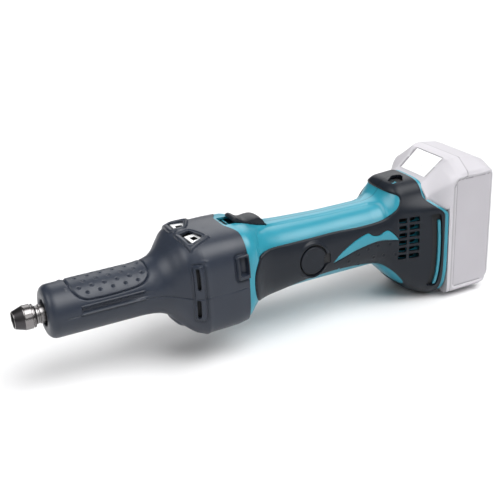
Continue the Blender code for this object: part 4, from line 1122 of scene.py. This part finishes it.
def pack_section(x):
    """The pack's outline in (y, z) at x: narrow sloped head first, then the full body."""
    head = smoothstep((x - 339.0) / 17.0)
    crown = np.interp(x, *zip(*PACK_CROWN))
    side_top = np.interp(x, *zip(*PACK_SIDE_TOP))
    width = 28.4 + 10.5 * head
    width -= 4.5 * smoothstep((x - 394.5) / 7.5) ** 2
    flat = 20.0 + 6.0 * smoothstep((x - 350.0) / 20.0)
    bottom = np.interp(x, *zip(*PACK_UNDERSIDE))
    corners = [
        (-width, bottom), (width, bottom), (width, side_top), (flat, crown), (-flat, crown),
        (-width, side_top),
    ]
    return round_corners(corners, (5.0, 5.0, 5.0, 4.0, 4.0, 5.0), steps=CORNER_STEPS)


def panel_field(grid):
    """Distance from the panel on each flank of the pack."""
    return side_box(*np.moveaxis(grid, 2, 0), PACK_PANEL, 3.0, beyond=30.0)


def pack_relief(grid):
    """Heights of the pack's panels, from its own points."""
    panel = panel_field(grid)
    return groove(panel - 1.3, -0.5, 0.9) - 0.6 * smoothstep(-panel / 0.5)


def make_pack():
    x = np.concatenate(
        [
            np.linspace(338.0, 355.0, 30), np.linspace(355.08, 355.4, 4), np.linspace(355.8, 393.0, 60),
            393.0 + 9.0 * np.sin(np.linspace(0.05, 1.0, 18) * math.pi / 2),
        ]
    )
    last = CORNER_STEPS - 1
    keys = np.concatenate(
        [
            np.append(np.arange(0, last, 0.34), last + np.arange(count) / count) + corner * CORNER_STEPS
            for corner, count in enumerate(PACK_SPANS)
        ]
    )
    sections = []
    for place in x:
        outline = pack_section(place)
        closed = np.concatenate([outline, outline[:1]])
        section = np.stack(
            [np.interp(keys, np.arange(len(closed)), closed[:, axis]) for axis in range(2)], axis=1
        )
        sections.append(np.concatenate([np.full((len(section), 1), place), section], axis=1))
    grid = np.stack(sections)
    normals = grid_normals(grid)
    grid = grid + normals * pack_relief(grid)[..., None]
    columns = grid.shape[1]
    window = window_field(grid)
    x_at, _, z_at = np.moveaxis(grid, 2, 0)
    split = PACK_SPLIT + (BATTERY_SPLIT - PACK_SPLIT) * smoothstep((z_at - 38.0) / 9.0)
    for name, node, field in (
        ("pack_front", "battery_cover", np.maximum(x_at - split, -window)),
        ("pack_rear", "battery_case", split + 0.01 - x_at),
    ):
        skin_piece(name, grid, normals, field, 1.4, "battery", "pale_plastic", (node,))
    skin_piece(
        "pack_panels", grid + normals * 0.12, normals, panel_field(grid) + 0.6, 0.3, "battery",
        "pale_plastic", finish="pale_panel",
    )
    rim = grid[-1]
    middle = rim.mean(axis=0) + (0.15, 0, 0)
    points = np.concatenate([rim, rim * (1, 0.9, 0.9) + (0.12, 0, 0), [middle]])
    faces = []
    for index in range(columns):
        after = (index + 1) % columns
        faces.append([index, columns + index, columns + after, after])
        faces.append([columns + index, 2 * columns, columns + after])
    mesh_piece("pack_back", points, faces, "battery", "pale_plastic")


def window_field(grid):
    """Distance from the opening for the release button, on the pack's sloped head."""
    x, y, z = np.moveaxis(grid, 2, 0)
    return np.where((z > 40.0) & (x < 364.5), outline_distance(PACK_WINDOW, x, y), FAR)


BUTTON_FOOT, BUTTON_TOP = (344.4, 42.6), (362.4, 56.5)
BUTTON_LENGTH, BUTTON_HALF_WIDTH, RIDGE_HALF_WIDTH = 22.7, 16.4, 11.0


def make_latch():
    """The release button: a white plate in the sloped window, with fine finger ridges."""
    across = np.linspace(-BUTTON_HALF_WIDTH, BUTTON_HALF_WIDTH, 90)
    along = np.linspace(0.0, 1.0, 120)
    start, end = np.array(BUTTON_FOOT), np.array(BUTTON_TOP)
    slope = (end - start) / np.linalg.norm(end - start)
    outward = np.array((-slope[1], slope[0]))
    s, y = np.meshgrid(along, across, indexing="ij")
    widen = 1.0 + 0.07 * s
    edge = np.minimum.reduce(
        [s * BUTTON_LENGTH, (1 - s) * BUTTON_LENGTH, BUTTON_HALF_WIDTH - np.abs(y)]
    )
    height = -0.9 + 0.9 * np.sqrt(1 - (1 - np.clip(edge / 0.9, 0, 1)) ** 2)
    ridged = (s > 0.2) & (s < 0.62) & (np.abs(y) < RIDGE_HALF_WIDTH)
    ridges = np.where(ridged, 0.12 * np.cos(s * BUTTON_LENGTH * 2.6), 0.0)
    height += ridges * smoothstep(RIDGE_HALF_WIDTH - np.abs(y))
    grid = np.stack(
        [
            start[0] + (end - start)[0] * s + outward[0] * height,
            y * widen,
            start[1] + (end - start)[1] * s + outward[1] * height,
        ],
        axis=-1,
    )
    rows, columns = grid.shape[:2]
    row, column = np.meshgrid(np.arange(rows - 1), np.arange(columns - 1), indexing="ij")
    first = row * columns + column
    faces = np.stack([first, first + 1, first + columns + 1, first + columns], axis=-1).reshape(-1, 4)
    mesh_piece(
        "release_button", grid.reshape(-1, 3), faces.tolist(), "latch", "white_plastic",
        ("battery_latch",),
    )


def make_pack_block():
    """The faces of the pack's mating block that show between it and the handle."""
    cad_inside(
        "battery_cover", "pack_block", "battery", "pale_plastic",
        lambda corners, normal: max(corner[0] for corner in corners) < 355.2
        and max(abs(corner[1]) for corner in corners) < 27.2
        and max(corner[2] for corner in corners) < 38.5
        and inset_from_skin(HOUSING_STATIONS, corners).min() > 0.05,
    )


# ---------------------------------------------------------------- stage, lights and camera


# Softboxes: the way to the middle, strength, and the angles where the fall-off starts and ends.
SOFTBOXES = (
    ((0.28, -0.42, 0.86), 6.6, 15.0, 31.0),
    ((-0.70, 0.00, 0.62), 4.6, 10.0, 26.0),
    ((0.40, 0.72, 0.56), 2.4, 12.0, 28.0),
)
AMBIENT = 0.11
FILL_FROM, FILL_TO = (-0.35, -1.25, 0.75), (0.0, 0.0, 0.06)
FILL_SIZE, FILL_POWER = (0.9, 0.25), 1.0


def make_floor():
    """A plain pale floor, half a millimetre under the tool."""
    bpy.ops.mesh.primitive_plane_add(size=6.0, location=(0.0, 0.0, -0.0005))
    floor = bpy.context.object
    floor.name = "floor"
    material, shader = new_material("pale floor", (0.76, 0.76, 0.765), 0.75)
    tree = material.node_tree
    coordinates = tree.nodes.new("ShaderNodeTexCoord")
    broad = spread(tree, noise(tree, coordinates, 3.0), 0.0, 1.0)
    tint = blend_colors(tree, broad, (0.755, 0.755, 0.76), (0.775, 0.775, 0.78))
    tree.links.new(tint, shader.inputs["Base Color"])
    floor.data.materials.append(material)


def make_fill():
    """A weak area light from the left, turned to the middle of the tool."""
    data = bpy.data.lights.new("fill", "AREA")
    data.shape = "RECTANGLE"
    data.size, data.size_y = FILL_SIZE
    data.energy = FILL_POWER
    light = bpy.data.objects.new("fill", data)
    bpy.context.scene.collection.objects.link(light)
    light.location = FILL_FROM
    toward = Vector(FILL_TO) - Vector(FILL_FROM)
    light.rotation_euler = toward.to_track_quat("-Z", "Y").to_euler()


def make_lights():
    """A dim even surround with three soft sources in it, and a fill from the left."""
    world = bpy.data.worlds.new("studio")
    bpy.context.scene.world = world
    world.use_nodes = True
    tree = world.node_tree
    background = tree.nodes["Background"]
    background.inputs["Color"].default_value = (1.0, 1.0, 1.0, 1.0)
    coordinates = tree.nodes.new("ShaderNodeTexCoord")
    strength = tree.nodes.new("ShaderNodeValue")
    strength.outputs[0].default_value = AMBIENT
    total = strength.outputs[0]
    for direction, power, inner, outer in SOFTBOXES:
        toward = tree.nodes.new("ShaderNodeVectorMath")
        toward.operation = "DOT_PRODUCT"
        toward.inputs[1].default_value = Vector(direction).normalized()
        tree.links.new(coordinates.outputs["Generated"], toward.inputs[0])
        start, end = math.cos(math.radians(outer)), math.cos(math.radians(inner))
        glow = spread(tree, toward.outputs["Value"], 0.0, power, start, end)
        added = tree.nodes.new("ShaderNodeMath")
        tree.links.new(total, added.inputs[0])
        tree.links.new(glow, added.inputs[1])
        total = added.outputs[0]
    tree.links.new(total, background.inputs["Strength"])
    make_fill()


CAMERA_FROM = (-103.8, -597.6, 302.8)
# The camera's azimuth, elevation and roll.
CAMERA_ANGLES = (-26.16, 23.83, -2.8)
FOCAL_LENGTH = 66.6


def make_camera():
    """The main view, from the left, in front and above."""
    azimuth, elevation, roll = (math.radians(angle) for angle in CAMERA_ANGLES)
    level = Vector((math.cos(azimuth), math.sin(azimuth), 0.0))
    out = Vector((math.sin(azimuth), -math.cos(azimuth), 0.0))
    back = out * math.cos(elevation) + Vector((0.0, 0.0, math.sin(elevation)))
    up = back.cross(level)
    right = level * math.cos(roll) + up * math.sin(roll)
    up = up * math.cos(roll) - level * math.sin(roll)
    data = bpy.data.cameras.new("camera")
    data.lens = FOCAL_LENGTH
    data.sensor_width = 36.0
    camera = bpy.data.objects.new("camera", data)
    bpy.context.scene.collection.objects.link(camera)
    rotation = Matrix((right, up, back)).transposed().to_4x4()
    camera.matrix_world = Matrix.Translation(Vector(to_row(CAMERA_FROM))) @ rotation
    bpy.context.scene.camera = camera


bpy.context.scene.view_settings.view_transform = "Standard"
dress_cad_nodes()
make_camera()
make_lights()
make_floor()
make_cover()
make_vent_plates()
make_shade_liners()
make_handle()
make_insides()
make_spindle_end()
make_caps()
make_cap_wells()
make_knob()
make_knob_ramp()
make_pack()
make_latch()
make_pack_block()
